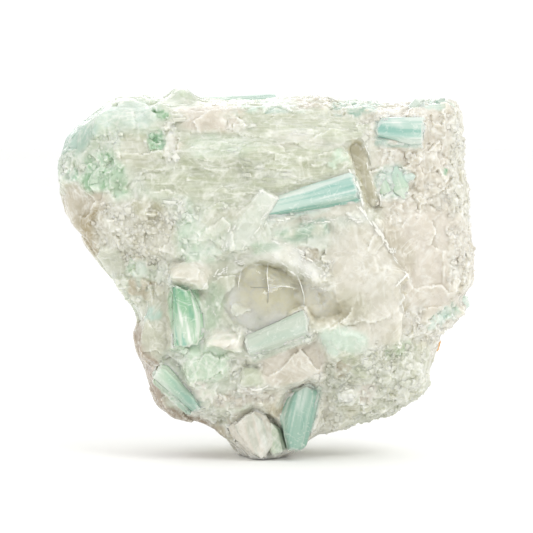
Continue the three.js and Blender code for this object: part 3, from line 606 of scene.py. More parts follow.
def front_crystal(index, entry, material):
    """A crystal of the front, by its outline: flat faces along it, fine ridges and streaks, and broken ends."""
    name, _, _, _, options = entry
    mesh = mesh_of_triangles(name, *hull_arrays(crystal_corners(entry)))
    mesh = with_modifier(mesh, "REMESH", mode="VOXEL", voxel_size=CRYSTAL_GRAIN * MM, adaptivity=0)
    points = coordinates(mesh) / MM
    points = points * 0.5 + neighbour_mean(mesh, points) * 0.5
    set_coordinates(mesh, points * MM)
    outward = normals(mesh)
    way, _ = crystal_way(entry)
    along, across, share = crystal_frame(points[:, [0, 2]], entry)
    ended = smooth_step(0.55, 0.85, np.abs(outward[:, [0, 2]] @ way))
    drawn_out = np.stack([along * 0.06, across, points[:, 1]], 1) + (index * 31, 0, 0)
    ridge = value_noise(drawn_out, 0.7, index + 5)
    height = 0.1 * ridge * (1 - ended) + ended * facets(points, 1.5, index + 9, 0.5, 0.7)
    height += 0.5 * facets(drawn_out * (3, 1, 1), 2.6, index + 15, 0.16, 0.3) * (1 - ended)
    points = points + outward * height[:, None]
    points[:, 2] = np.maximum(points[:, 2], 0.02)
    set_coordinates(mesh, points * MM)
    outward = normals(mesh)
    bulge = smooth_step(0.05, 0.3, ((points - neighbour_mean(mesh, points)) * outward).sum(1) / CRYSTAL_GRAIN)
    first, last = options["ends"]
    contrast = options.get("contrast", 0.5)
    streak = value_noise(drawn_out + (0, 5, 0), 0.8, index + 7) + 0.5 * value_noise(drawn_out, 0.3, index + 8)
    tint = mixed(np.tile(first, (len(points), 1)), last, smooth_step(0, 1, share + 0.12 * streak))
    # Painted shade: the crystal's lower side is coloured darker.
    if "under" in options:
        tint = mixed(tint, options["under"], smooth_step(-0.2, -1.1, across - 0.25 * streak))
    cloud = smooth_step(0.1, 0.9, cloudy(points, 3.2, index + 20))
    tint = mixed(tint, SNOW, np.clip(0.65 * contrast * smooth_step(0.1, 0.6, streak) + 0.3 * cloud, 0, 1))
    tint = tint * (1 - 0.3 * contrast * smooth_step(0.05, 0.5, -streak)[:, None] * STREAK_TONE)
    tint = mixed(tint, SNOW, np.maximum(0.5 * bulge, 0.5 * ended))
    paint(mesh, "tint", tint)
    mesh.shade_smooth()
    mesh.set_sharp_from_angle(angle=math.radians(35))
    mesh.name = name
    return new_piece(name, mesh, material)


def prism_piece(index, entry, material):
    """A striated prism: fine ridges along it, cracks across it, and broken or pointed ends."""
    name, start, end, radius, options = entry
    along, across, beside = axis_frame(start, end)
    length = (Vector(end) - Vector(start)).length
    taper = options.get("taper", 1)
    tip = options.get("tip", 0)
    angle = np.linspace(0, 2 * math.pi, PRISM_SIDES, endpoint=False)
    circle = np.stack([np.cos(angle), np.sin(angle)], 1)
    base = section_radius(angle, radius, options.get("roll", 0))
    half_tip = tip * radius / 2
    shoulder = length - half_tip
    steps = max(8, int(length / PRISM_STEP))
    rings = [(scale, 0.0, 0.0) for scale in np.linspace(1 / CAP_RINGS, 1, CAP_RINGS - 1, endpoint=False)]
    rings += [(1.0, t, 1.0) for t in np.linspace(0, shoulder, steps)]
    tip_scales = np.linspace(1, 1 / (2 * CAP_RINGS), 2 * CAP_RINGS - 1)[1:]
    rings += [(scale, shoulder + (1 - scale) * 2 * half_tip, 0.0) for scale in tip_scales]
    points = []
    tints = []
    first, last = options["ends"]
    flat = np.zeros((PRISM_SIDES, 1))
    for scale, t, side in rings:
        share = t / length
        around = np.concatenate([circle * radius, flat], 1) + (index * 31, 0, 0)
        ridge = value_noise(around + (0, 0, t * 0.02), 0.34, index + 5)
        ridge += 0.6 * value_noise(around + (0, 9, t * 0.05), 0.16, index + 6)
        streak = value_noise(around + (0, 5, t * 0.1), 0.42, index + 7)
        crack = value_noise(np.array([[0, index * 3.0, t]]), 1.1, index + 8)[0]
        reach = base * (1 + (taper - 1) * min(share, 1)) + 0.2
        reach = reach + side * (0.06 * ridge - 0.14 * max(0.0, crack - 0.5))
        across_cap = np.concatenate([circle * (reach * scale)[:, None], flat], 1) + (index * 13, 0, 0)
        broken = 0 if side else facets(across_cap, 1.5, index + 9, 0.8, 0.9) * min(1, 2.4 - 2.4 * scale)
        ring = circle * (reach * scale)[:, None]
        place = np.array(start) + ring[:, :1] * across + ring[:, 1:] * beside
        points.append(place + np.reshape(t + broken, (-1, 1)) * along)
        fade = smooth_step(0, 1, share + 0.12 * streak)
        tint = mixed(np.tile(first, (PRISM_SIDES, 1)), last, fade)
        # Painted shade: the side that faces down is coloured darker.
        if "under" in options:
            up = circle @ (across[2], beside[2])
            tint = mixed(tint, options["under"], smooth_step(0.15, 0.45, -up))
        contrast = options.get("contrast", 0.5)
        whiten = 0.6 * contrast * smooth_step(0.2, 0.8, streak) + (0 if side else 0.3)
        darken = 1 - 0.22 * contrast * smooth_step(0.1, 0.8, -streak)
        tints.append(mixed(tint, SNOW, np.minimum(whiten, 1)) * darken[:, None])
    points = np.concatenate(points)
    tints = np.concatenate(tints)
    tints = mixed(tints, SNOW, 0.6 * smooth_step(0.5, 0.95, cloudy(points, 1.3, index + 20)))
    faces = []
    for ring in range(len(rings) - 1):
        a, b = ring * PRISM_SIDES, (ring + 1) * PRISM_SIDES
        for i in range(PRISM_SIDES):
            j = (i + 1) % PRISM_SIDES
            faces.append((a + i, a + j, b + j, b + i))
    last_ring = (len(rings) - 1) * PRISM_SIDES
    faces.append(tuple(range(last_ring, last_ring + PRISM_SIDES)))
    faces.append(tuple(reversed(range(PRISM_SIDES))))
    mesh = bpy.data.meshes.new(name)
    mesh.from_pydata((points * MM).tolist(), [], faces)
    paint(mesh, "tint", tints)
    mesh.shade_smooth()
    mesh.set_sharp_from_angle(angle=math.radians(30))
    return new_piece(name, mesh, material)


def seen(points):
    """The points as high as the picture shows them, since the camera looks down a little."""
    places = np.array(points, float)
    places[:, 2] += (places[:, 1] - VIEW_MIDDLE[1]) * math.tan(math.radians(ELEVATION))
    return places


def zone_share(points, middle, size, turn):
    """How much each point belongs to a zone of the front, from 0 to 1."""
    points = seen(points)
    c, s = math.cos(math.radians(turn)), math.sin(math.radians(turn))
    dx = points[:, 0] - middle[0]
    dz = points[:, 2] - middle[1]
    u = (dx * c + dz * s) / (size[0] / 2)
    v = (-dx * s + dz * c) / (size[1] / 2)
    away = (np.abs(u) ** 3 + np.abs(v) ** 3) ** (1 / 3)
    share = np.zeros(len(points))
    near = (away < 1.6) & (points[:, 1] < 15)
    narrow = min(size)
    fray = float(np.clip(ZONE_FRAY / narrow, 0.12, 0.45))
    fray = fray * cloudy(points[near], float(np.clip(0.5 * narrow, 0.9, 2.6)), int(abs(middle[0] * 7 + middle[1])) + 3)
    inside = 1 - smooth_step(1 - ZONE_EDGE / 2, 1 + ZONE_EDGE / 2, away[near] + fray)
    if narrow < SMALL_ZONE:
        inside *= smooth_step(-0.7, 0.2, cloudy(points[near], 1.1, 29))
    share[near] = inside * smooth_step(15, 9, points[near, 1])
    return share


def base_tint(points):
    """Quartz away from the named zones: milky, greener to the upper left and rosier to the right."""
    green = 0.4 - points[:, 0] / 90 + (points[:, 2] - 40) / 160 + 0.35 * cloudy(points, 16, 71)
    rose = 0.35 + points[:, 0] / 110 + 0.4 * cloudy(points, 14, 81)
    tint = mixed(np.tile(MILKY, (len(points), 1)), PALE_GREEN, 0.9 * smooth_step(0, 1, green))
    return mixed(tint, ROSE, 0.7 * smooth_step(0.2, 0.9, rose))


def grown_over(mesh):
    """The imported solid's mesh with the overgrowths added."""
    work = bmesh.new()
    work.from_mesh(mesh)
    for outline, (front, back) in OVERGROWTHS:
        middle = np.mean(outline, axis=0)
        corners = [(x, back, z) for x, z in outline]
        for x, z in outline:
            inner_x, inner_z = middle + (np.array((x, z)) - middle) * 0.86
            corners.append((inner_x, front, inner_z))
        piece = mesh_of_triangles("overgrowth", *hull_arrays(corners))
        work.from_mesh(piece)
        bpy.data.meshes.remove(piece)
    work.to_mesh(mesh)
    work.free()


def fill_creases(mesh, hold, round_share):
    """Fills creases and pits softly, as quartz that has grown together, and leaves the outer edges."""
    points = coordinates(mesh) / MM
    before = points.copy()
    for number in range(FILL_ROUNDS):
        if number % 5 == 0:
            set_coordinates(mesh, points * MM)
            outward = normals(mesh)
            facing = smooth_step(0.05, 0.45, np.abs(outward[:, 1]))
        rise = np.maximum(((neighbour_mean(mesh, points) - points) * outward).sum(1), 0)
        room = smooth_step(MOST_FILL, 0.5 * MOST_FILL, np.linalg.norm(points - before, axis=1))
        points += outward * (rise * facing * hold * room)[:, None]
    for number in range(ROUNDING_ROUNDS):
        share = 0.5 * (round_share if number >= SOFTENING_ROUNDS else 1)
        points += (neighbour_mean(mesh, points) - points) * np.reshape(share, (-1, 1))
    set_coordinates(mesh, points * MM)


def drawn_noise(points, turn, size, seed):
    """Smooth noise drawn out on the front along a direction, in degrees from the x axis."""
    c, s = math.cos(math.radians(turn)), math.sin(math.radians(turn))
    along = points[:, 0] * c + points[:, 2] * s
    across = points[:, 2] * c - points[:, 0] * s
    return value_noise(np.stack([along * 0.12, across, points[:, 1] * 0.3], 1), size, seed)


def ridges(points):
    """Thin wandering ridges of white quartz: 1 on a ridge, 0 away from it."""
    wander = np.minimum(np.abs(cloudy(points, 5.5, 161, 2)), np.abs(cloudy(points, 4.2, 171, 2)))
    return smooth_step(0.11, 0.02, wander)


def body_heights(points, slab, rough, sugar):
    """Relief of the broken quartz, in mm."""
    warped = points + np.stack([0.5 * value_noise(points, 3.1, 91 + k) for k in range(3)], 1)
    smooth = np.clip(1 - slab - rough - sugar, 0, 1)
    heights = 0.2 * cloudy(points, 6, 191)
    heights += where(smooth, warped, lambda p: facets(p, 7, 101, 0.45, 0.8))
    heights += where(smooth, warped, lambda p: facets(p, 2.6, 105, 0.16, 0.25))
    heights += where(slab, warped, lambda p: facets(p, 2.4, 111, 0.45, 0.5, (3.6, 1, 0.8)))
    heights += where(slab, points, lambda p: 0.08 * cloudy(p * (0.12, 1, 1), 0.7, 121, 2))
    heights += where(rough, warped, lambda p: facets(p, 3.4, 131, 0.7, 0.8))
    heights += where(np.maximum(rough, 0.6 * sugar), warped, lambda p: facets(p, 1.5, 141, 0.36, 0.5))
    heights += where(sugar, warped, lambda p: facets(p, 2.4, 151, 0.6, 0.6))
    heights += RIDGE_HEIGHT * ridges(points) * np.maximum(rough, sugar)
    return heights


def inside_outline(points, outline):
    """How far each point is inside an outline on the front, in mm, negative outside."""
    x, z = points[:, 0], points[:, 2]
    nearest = np.full(len(points), 1e9)
    inside = np.zeros(len(points), bool)
    for (x0, z0), (x1, z1) in zip(outline, outline[1:] + outline[:1]):
        dx, dz = x1 - x0, z1 - z0
        t = np.clip(((x - x0) * dx + (z - z0) * dz) / (dx * dx + dz * dz), 0, 1)
        nearest = np.minimum(nearest, np.hypot(x - x0 - t * dx, z - z0 - t * dz))
        if dz:
            crossing = x < x0 + (z - z0) / dz * dx
            inside ^= ((z0 > z) != (z1 > z)) & crossing
    return np.where(inside, nearest, -nearest)


def glass_depth(points, glass):
    """The depth of the clear quartz's front in front of each point, in mm, or 99 where there is none."""
    depth = np.full(len(points), 99.0)
    tree = BVHTree.FromPolygons([v.co for v in glass.vertices], [tuple(p.vertices) for p in glass.polygons])
    low, high = coordinates(glass).min(0) / MM, coordinates(glass).max(0) / MM
    facing = ((points[:, (0, 2)] > low[[0, 2]]) & (points[:, (0, 2)] < high[[0, 2]])).all(1)
    for index in np.flatnonzero(facing & (points[:, 1] < LENS_BACK)):
        x, _, z = points[index]
        hit, _, _, _ = tree.ray_cast(Vector((x, low[1] - 1, z)) * MM, Vector((0, 1, 0)))
        if hit is not None:
            depth[index] = hit.y / MM
    return depth


def sink_window(points, tint, glass):
    """The quartz behind the clear part: it lies at an even depth under it, and is coloured."""
    front = smooth_step(-10, -14, points[:, 1])
    depth = inside_outline(seen(points), WINDOW) + 0.35 * cloudy(points, 2.2, 211)
    width = SOFT_EDGE + (STEEP_EDGE - SOFT_EDGE) * smooth_step(34, 37, points[:, 2])
    share = front * smooth_step(0, 1, depth / width)
    level = glass_depth(points, glass)
    under = np.where(level < 90, np.maximum(level + WINDOW_DEPTH - points[:, 1], 0), 0)
    points[:, 1] += np.minimum(under, MOST_SUNK) * share
    floor_tint = mixed(np.tile(WINDOW_COLOURS[0], (len(points), 1)), WINDOW_COLOURS[1], smooth_step(4, 9, points[:, 0]))
    tint[:] = mixed(tint, floor_tint, share)
    return share


def under_glass(tint):
    """The lighter colour that looks like the given one when clear quartz lies on it and holds light back."""
    return tint / (SINGLE_PASS + HELD_BACK * tint)


def covered_share(points, glass):
    """How much clear quartz lies in front of each point, from 0 to 1."""
    return smooth_step(-0.05, 0.15, points[:, 1] - glass_depth(points, glass))


def make_room(points, outward, index, entry):
    """The quartz lies under a front crystal's face, meets its border flush, and laps over it here and there.
    Returns how near each point is to the border, from 0 to 1."""
    _, start, end, radius, options = entry
    away = np.full(len(points), -99.0)
    ahead = (points[:, 1] < 0) & (outward[:, 1] < 0.1)
    away[ahead] = inside_outline(points[ahead], crystal_outline(entry))
    near = away > -1.8
    some = points[near]
    inside = away[near] + 0.25 * cloudy(some, 1.4, index + 430)
    _, _, share = crystal_frame(some[:, [0, 2]], entry)
    axis = start[1] + (end[1] - start[1]) * share
    edge = axis - EDGE_DEPTH * radius
    face = edge - (options.get("face", FACE_DEPTH) - EDGE_DEPTH) * radius * np.clip(away[near] / FACE_SLOPE, 0, 1)
    lap = smooth_step(0.15, 0.5, cloudy(some, 2.6, index + 400)) * options.get("lap", 1)
    covered = lap * smooth_step(0.9, 0.4, inside)
    blade = 0
    if "cover" in options:
        blade = smooth_step(-0.5, 0.2, inside_outline(seen(some), options["cover"]))
        covered = np.maximum(covered, blade)
    depth = some[:, 1]
    under = smooth_step(0, 0.35, inside) * (1 - covered)
    depth = depth + under * np.maximum(face + 0.4 - depth, 0)
    over = smooth_step(-0.1, 0.3, inside) * covered
    depth = depth + over * np.clip(face - 0.2 - depth, -MOST_PULL, 0)
    beside = smooth_step(-1.7, -0.1, inside) * smooth_step(0.4, 0, inside) * (1 - blade)
    flush = np.clip(depth, edge - 0.15, edge + 0.2)
    depth = depth + beside * np.clip(flush - depth, -MOST_PULL, MOST_PULL)
    points[near, 1] = depth
    border = np.zeros(len(points))
    border[near] = np.maximum(beside, 0.6 * over)
    return border


def fit_prisms(points, outward, tint, slab):
    """The quartz gives way to each prism and laps over it here and there, and takes the sunken ones' colours."""
    border = np.zeros(len(points))
    for index, entry in enumerate(PRISMS):
        if entry[0] in OUTLINES:
            depth, share = inside_prism(points, entry)
            near = (depth > -0.5) & (points[:, 1] < 0)
            first, last = entry[4]["ends"]
            own = mixed(np.tile(first, (int(near.sum()), 1)), last, share[near])
            tint[near] = mixed(tint[near], own, 0.8 * smooth_step(-0.5, 0, depth[near]))
            border = np.maximum(border, make_room(points, outward, index, entry))
            continue
        depth, share = inside_prism(points, entry)
        near = depth > -1.2
        some = points[near]
        if entry[0] in SUNKEN:
            first, last = entry[4]["ends"]
            shown = smooth_step(-0.8, 0.3, depth[near]) * smooth_step(-0.5, 0.2, cloudy(some, 2.6, index + 400))
            tint[near] = mixed(tint[near], mixed(np.tile(first, (len(some), 1)), last, share[near]), shown)
            slab[near] = np.maximum(slab[near], shown)
            continue
        ends = np.abs(share[near] - 0.5) * 2
        lap = smooth_step(0.3, 0.8, cloudy(some, 3.2, index + 400) + 0.35 * ends**4) * entry[4].get("lap", 1)
        inward = np.clip(depth[near] + 0.3, 0, entry[3] * 0.8) * (1 - lap)
        raised = 0.4 * lap * smooth_step(-0.9, 0.1, depth[near])
        points[near] += outward[near] * (raised - inward)[:, None]
        band = smooth_step(-1.2, -0.2, depth[near]) * np.maximum(lap, smooth_step(0.2, -0.2, depth[near]))
        border[near] = np.maximum(border[near], band)
    return border


def body_piece(material, glass):
    """The quartz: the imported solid, with broken faces and its colours. Returns what the crusts grow on."""
    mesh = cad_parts[NODE].data.copy()
    grown_over(mesh)
    mesh = with_modifier(mesh, "REMESH", mode="VOXEL", voxel_size=FILL_VOXEL * MM, adaptivity=0)
    hold = np.ones(len(mesh.vertices))
    round_share = np.zeros(len(mesh.vertices))
    for name, middle, size, turn, _, _ in ZONES:
        if name in OPEN_ZONES:
            hold -= OPEN_ZONES[name] * zone_share(coordinates(mesh) / MM, middle, size, turn)
        if name in ROUND_ZONES:
            share = 1 if name == "rose field" else LUMP_SHARE
            round_share += share * zone_share(coordinates(mesh) / MM, middle, size, turn)
    fill_creases(mesh, np.clip(hold, 0, 1), np.clip(round_share, 0, 1))
    mesh = with_modifier(mesh, "REMESH", mode="VOXEL", voxel_size=VOXEL * MM, adaptivity=0)
    points = coordinates(mesh) / MM
    for _ in range(2):
        points = points * 0.5 + neighbour_mean(mesh, points) * 0.5
    set_coordinates(mesh, points * MM)
    outward = normals(mesh)

    tint = base_tint(points)
    wide = cloudy(points, 12, 33)
    kinds = np.stack([smooth_step(0.5, 0.9, wide), smooth_step(-0.2, 0.3, -wide), 0.7 * smooth_step(0.3, 0.8, -wide)], 1)
    for _, middle, size, turn, colour, kind in ZONES:
        share = zone_share(points, middle, size, turn)
        tint = mixed(tint, colour, share)
        kinds = mixed(kinds, kind, share)
    places = seen(points)
    for name, outline, colour, kind in OUTLINED:
        soft = 0.9 if name == "flake" else 0.25
        inside = inside_outline(places, outline) + 0.3 * cloudy(points, 1.6, len(outline))
        share = smooth_step(-soft, soft, inside) * smooth_step(3, -5, points[:, 1])
        # The flake, white quartz with a painted highlight, is streaked along its fan.
        if name == "flake":
            share *= 0.6 + 0.4 * smooth_step(-0.5, 0.2, drawn_noise(places, FLAKE_TURN, 0.8, 251))
        tint = mixed(tint, colour, share)
        kinds = mixed(kinds, kind, share)
    slab, rough, sugar = kinds.T.copy()
    snowy = (0.1 + 0.4 * sugar + 0.1 * rough) * smooth_step(0.15, 0.6, cloudy(points, 3.4, 231))
    deeper = (0.4 + 0.5 * sugar) * smooth_step(0.15, 0.7, cloudy(points, 4.2, 241))
    tint = mixed(mixed(tint, SNOW, snowy), tint * SHADE_OF_DEPTH, deeper)
    tint = mixed(tint, SNOW, 0.35 * ridges(points) * np.maximum(rough, sugar))

    heights = body_heights(points, slab, rough, sugar)
    points = points + outward * (heights - 0.1)[:, None]
    places = seen(points)
    floor_share = smooth_step(-0.6, 0.1, inside_outline(places, CREVICE)) * (points[:, 1] < -10)
    points[:, 1] += floor_share * np.clip(CREVICE_FLOOR - points[:, 1], -4, 0)
    grown_blade = smooth_step(-0.3, 0.5, inside_outline(seen(points), BLADE)) * (points[:, 1] < -12)
    blade_face = BLADE_FACE[0] + (BLADE_FACE[1] - BLADE_FACE[0]) * smooth_step(-8, 0, points[:, 0])
    points[:, 1] += grown_blade * np.clip(blade_face - points[:, 1], -2.5, 0)
    window = sink_window(points, tint, glass)
    border = fit_prisms(points, outward, tint, slab)
    low, high = (np.array(c) / MM for c in CAD_BOX)
    points = np.clip(points, low - PROUD, high + PROUD)
    points[:, 2] = np.maximum(points[:, 2], 0)
    set_coordinates(mesh, points * MM)
    tint = mixed(tint, under_glass(tint), covered_share(points, glass))

    outward = normals(mesh)
    bulge = ((points - neighbour_mean(mesh, points)) * outward).sum(1) / VOXEL
    bulge = bulge * 0.6 + neighbour_mean(mesh, bulge) * 0.4
    wide_bulge = bulge
    for _ in range(6):
        wide_bulge = neighbour_mean(mesh, wide_bulge)
    paint(mesh, "tint", tint)
    measure(mesh, "edge", smooth_step(0.05, 0.3, bulge))
    # Painted shade: hollows are measured here so that the material can darken them.
    measure(mesh, "crease_shade", smooth_step(0.05, 0.35, -bulge))
    measure(mesh, "sugar", np.maximum(sugar, WINDOW_GRAIN * window))
    measure(mesh, "slab", slab)
    grown = dict(points=points, outward=outward, tint=tint, slab=slab, rough=rough, sugar=sugar, border=border)
    grown["hollow"] = smooth_step(0.06, 0.2, -wide_bulge)
    triangles = sum(len(p.vertices) - 2 for p in mesh.polygons)
    if triangles > MOST_TRIANGLES:
        mesh = with_modifier(mesh, "DECIMATE", ratio=MOST_TRIANGLES / triangles)
    mesh.name = "quartz_body"
    mesh.shade_smooth()
    mesh.set_sharp_from_angle(angle=math.radians(40))
    piece = new_piece("quartz_body", mesh, material)
    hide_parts(NODE)
    return grown


def hull_arrays(points):
    """The convex hull of some points, as arrays of corners and triangles."""
    work = bmesh.new()
    for point in points:
        work.verts.new(point)
    result = bmesh.ops.convex_hull(work, input=work.verts)
    loose = [g for g in result["geom_interior"] if isinstance(g, bmesh.types.BMVert)]
    bmesh.ops.delete(work, geom=loose, context="VERTS")
    bmesh.ops.recalc_face_normals(work, faces=work.faces)
    bmesh.ops.triangulate(work, faces=work.faces)
    work.verts.index_update()
    corners = np.array([v.co[:] for v in work.verts])
    triangles = np.array([[v.index for v in f.verts] for f in work.faces])
    work.free()
    return corners, triangles


def grain_shape(seed):
    """A small crystal of unit size: a box with its corners pulled in, or a rounded lump."""
    if seed % 2:
        corners = [(x, y, z) for x in (-1, 1) for y in (-1, 1) for z in (-1, 1)]
        points = [[c * (0.5 + 0.35 * chance(seed + 40, 3 * i + k)) for k, c in enumerate(p)] for i, p in enumerate(corners)]
        points.append([0.2 * (chance(seed, 90) - 0.5), 0.2 * (chance(seed, 91) - 0.5), 1.05])
        return hull_arrays(points)
    return hull_arrays(lump_points((2, 2, 2), seed + 70, 10))


# How deep light glows in the body, in metres.
BODY_GLOW = 0.0016
GRAIN_SHAPES = 12
GRAIN_CELL = 0.115

# Small crystals that cover the quartz: sizes in mm, the stretch of the three axes, and how they lie.
CRUSTS = [
    dict(name="quartz_blades", sizes=(0.35, 1.0), stretch=(3.2, 0.8, 0.45), lie="ledge", sink=0.3, seed=501),
    dict(name="quartz_chips", sizes=(0.5, 1.3), stretch=(1.2, 1, 0.5), lie="flat", sink=0.3, seed=511),
    dict(name="sugary_grains", sizes=(0.3, 0.75), stretch=(1, 1, 1), lie="any", sink=0.4, seed=521),
    dict(name="fine_grains", sizes=(0.16, 0.34), stretch=(1, 1, 1), lie="any", sink=0.3, seed=531),
]


def crust_density(name, grown):
    """How many crystals of a crust there are on each square mm: fewer on top, where the edge is clean."""
    patchy = smooth_step(-0.3, 0.5, cloudy(grown["points"], 5, 541))
    clean = 1 - 0.85 * smooth_step(0.35, 0.75, grown["outward"][:, 2])
    return clean * side_density(name, grown, patchy)


def side_density(name, grown, patchy):
    """How many crystals of a crust there are on each square mm of the sides."""
    slab, rough, sugar = grown["slab"], grown["rough"], grown["sugar"]
    if name == "quartz_blades":
        return 0.06 * slab * patchy
    if name == "quartz_chips":
        return 0.1 * rough * patchy + 0.05 * sugar + 0.1 * grown["hollow"] * (1 - slab)
    if name == "sugary_grains":
        return 0.5 * sugar * (0.3 + 0.7 * patchy) + 0.08 * rough + 0.05 * grown["border"]
    return 0.7 * sugar * patchy + 0.2 * rough * patchy + 0.25 * grown["border"]


def frames_for(lie, outward, numbers, seed):
    """Three axes for each crystal: any way round, flat on the surface, or along the ledges."""
    spin = draws(numbers, seed, 1) * 2 * math.pi
    if lie == "any":
        tilt = np.stack([draws(numbers, seed, 2 + k) - 0.5 for k in range(3)], 1) * 2.4
        outward = outward + tilt
    elif lie == "flat":
        outward = outward + 0.5 * np.stack([draws(numbers, seed, 2 + k) - 0.5 for k in range(3)], 1)
    else:
        spin = (draws(numbers, seed, 1) - 0.5) * 0.3 + 0.05
        outward = outward + 0.3 * np.stack([draws(numbers, seed, 2 + k) - 0.5 for k in range(3)], 1)
    third = outward / np.linalg.norm(outward, axis=1)[:, None]
    first = np.array((1.0, 0.0, 0.02)) - third * third[:, :1]
    first /= np.linalg.norm(first, axis=1)[:, None]
    second = np.cross(third, first)
    turned = first * np.cos(spin)[:, None] + second * np.sin(spin)[:, None]
    return np.stack([turned, np.cross(third, turned), third], 1)


def crust_piece(crust, grown, shapes, material):
    """One crust: many small crystals joined in one mesh."""
    name, seed = crust["name"], crust["seed"]
    numbers = np.arange(len(grown["points"]))
    chosen = numbers[draws(numbers, seed, 0) < crust_density(name, grown) * GRAIN_CELL]
    chosen = chosen[grown["points"][chosen, 2] > 2.5]
    place = grown["points"][chosen]
    chosen = chosen[(inside_outline(seen(place), WINDOW) < 0.2) | (place[:, 1] > LENS_BACK)]
    for entry in PRISMS:
        place = grown["points"][chosen]
        if entry[0] in OUTLINES:
            hidden = (inside_outline(place, crystal_outline(entry)) > 0.1) & (place[:, 1] < 0)
        else:
            hidden = inside_prism(place, entry)[0] > 0.1
        chosen = chosen[~hidden]
    low, high = crust["sizes"]
    size = low + (high - low) * draws(chosen, seed, 10) ** 2
    axes = frames_for(crust["lie"], grown["outward"][chosen], chosen, seed)
    stretch = np.array(crust["stretch"]) * (0.8 + 0.4 * np.stack([draws(chosen, seed, 20 + k) for k in range(3)], 1))
    middle = grown["points"][chosen] - grown["outward"][chosen] * (crust["sink"] * size)[:, None]
    lighter = 0.4 * draws(chosen, seed, 30) ** 2
    tone = 0.96 + 0.06 * draws(chosen, seed, 31)
    tint = mixed(grown["tint"][chosen], SNOW, lighter) * tone[:, None]
    kind = (draws(chosen, seed, 32) * len(shapes)).astype(int) % len(shapes)
    sugar = grown["sugar"][chosen]
    return crystals_piece(name, shapes, kind, middle, axes, stretch * size[:, None], tint, sugar, material)


def crystals_piece(name, shapes, kind, middle, axes, reach, tint, sugar, material):
    """Many small crystals joined in one mesh: the shape, place, axes, reach and colours of each."""
    all_points, all_triangles, all_tints, all_sugar, start = [], [], [], [], 0
    for index, (corners, triangles) in enumerate(shapes):
        mine = kind == index
        count = int(mine.sum())
        if count == 0:
            continue
        scaled = corners[None] * reach[mine][:, None, :]
        placed = np.einsum("nvk,nkj->nvj", scaled, axes[mine]) + middle[mine][:, None, :]
        all_points.append(placed.reshape(-1, 3))
        offsets = start + np.arange(count)[:, None, None] * len(corners)
        all_triangles.append((triangles[None] + offsets).reshape(-1, 3))
        all_tints.append(np.repeat(tint[mine], len(corners), 0))
        all_sugar.append(np.repeat(sugar[mine], len(corners)))
        start += count * len(corners)
    low_corner, high_corner = (np.array(c) / MM for c in CAD_BOX)
    points = np.clip(np.concatenate(all_points), low_corner - PROUD, high_corner + PROUD)
    mesh = mesh_of_triangles(name, points, np.concatenate(all_triangles))
    paint(mesh, "tint", np.concatenate(all_tints))
    measure(mesh, "sugar", np.concatenate(all_sugar))
    mesh.shade_flat()
    print(name, len(mesh.polygons), "triangles")
    return new_piece(name, mesh, material)


def flake_lines():
    """The white fan above the window, from the upper left down to the right."""
    lines = []
    for i in range(FLAKE_VEINS):
        share = i / (FLAKE_VEINS - 1)
        first = (-1.7 + 6 * share, 42 + 1.1 * math.sin(3 * share))
        last = (8.4 + 3.4 * share, 35.8 + 2.4 * share)
        bend = ((first[0] + last[0]) / 2 - 0.4, (first[1] + last[1]) / 2 + 0.7 * share)
        lines.append(([first, bend, last], 0.32))
    return lines


def veins_piece(grown, shapes, material):
    """Raised white veins: long small crystals in a row on the front, each along its line."""
    points, outward = grown["points"], grown["outward"]
    front = np.flatnonzero((points[:, 1] < 0) & (outward[:, 1] < 0))
    places = seen(points)
    rows, lines, thick = [], [], []
    for line, width in VEINS + flake_lines():
        for (x0, z0), (x1, z1) in zip(line, line[1:]):
            length = math.hypot(x1 - x0, z1 - z0)
            for t in np.arange(0, length, VEIN_STEP):
                number = len(rows)
                stray = 0.12 * math.sin(number * 0.3) + 0.2 * (chance(number, 61) - 0.5)
                x = x0 + (x1 - x0) * t / length + stray * (z1 - z0) / length
                z = z0 + (z1 - z0) * t / length - stray * (x1 - x0) / length
                away = (places[front, 0] - x) ** 2 + (places[front, 2] - z) ** 2
                near = front[away < 0.25]
                if len(near) == 0:
                    continue
                rows.append(near[points[near, 1].argmin()])
                lines.append(((x1 - x0) / length, 0.0, (z1 - z0) / length))
                thick.append(width * (0.4 + 0.6 * chance(number, 62)))
    rows, lines, thick = np.array(rows), np.array(lines), np.array(thick)
    third = outward[rows]
    first = lines - third * (lines * third).sum(1)[:, None]
    first /= np.linalg.norm(first, axis=1)[:, None]
    axes = np.stack([first, np.cross(third, first), third], 1)
    reach = thick[:, None] * np.array((2.8, 0.6, 0.36))
    kind = np.arange(len(rows)) % len(shapes)
    middle = points[rows] - third * 0.1
    tint = mixed(grown["tint"][rows], BRIGHT, 0.8)
    return crystals_piece("white_veins", shapes, kind, middle, axes, reach, tint, np.zeros(len(rows)), material)


def lump_points(size, seed, count):
    """The frame's rounded lump: points spread over an ellipsoid, pulled in by uneven amounts."""
    points = []
    for i in range(count):
        up = 1 - (2 * (i + 0.5)) / count
        around = i * GOLDEN_ANGLE + seed
        ring = math.sqrt(1 - up * up)
        reach = 0.86 + 0.14 * chance(seed, i)
        direction = (ring * math.cos(around), ring * math.sin(around), up)
        points.append([d * reach * size[axis] / 2 for axis, d in enumerate(direction)])
    return points


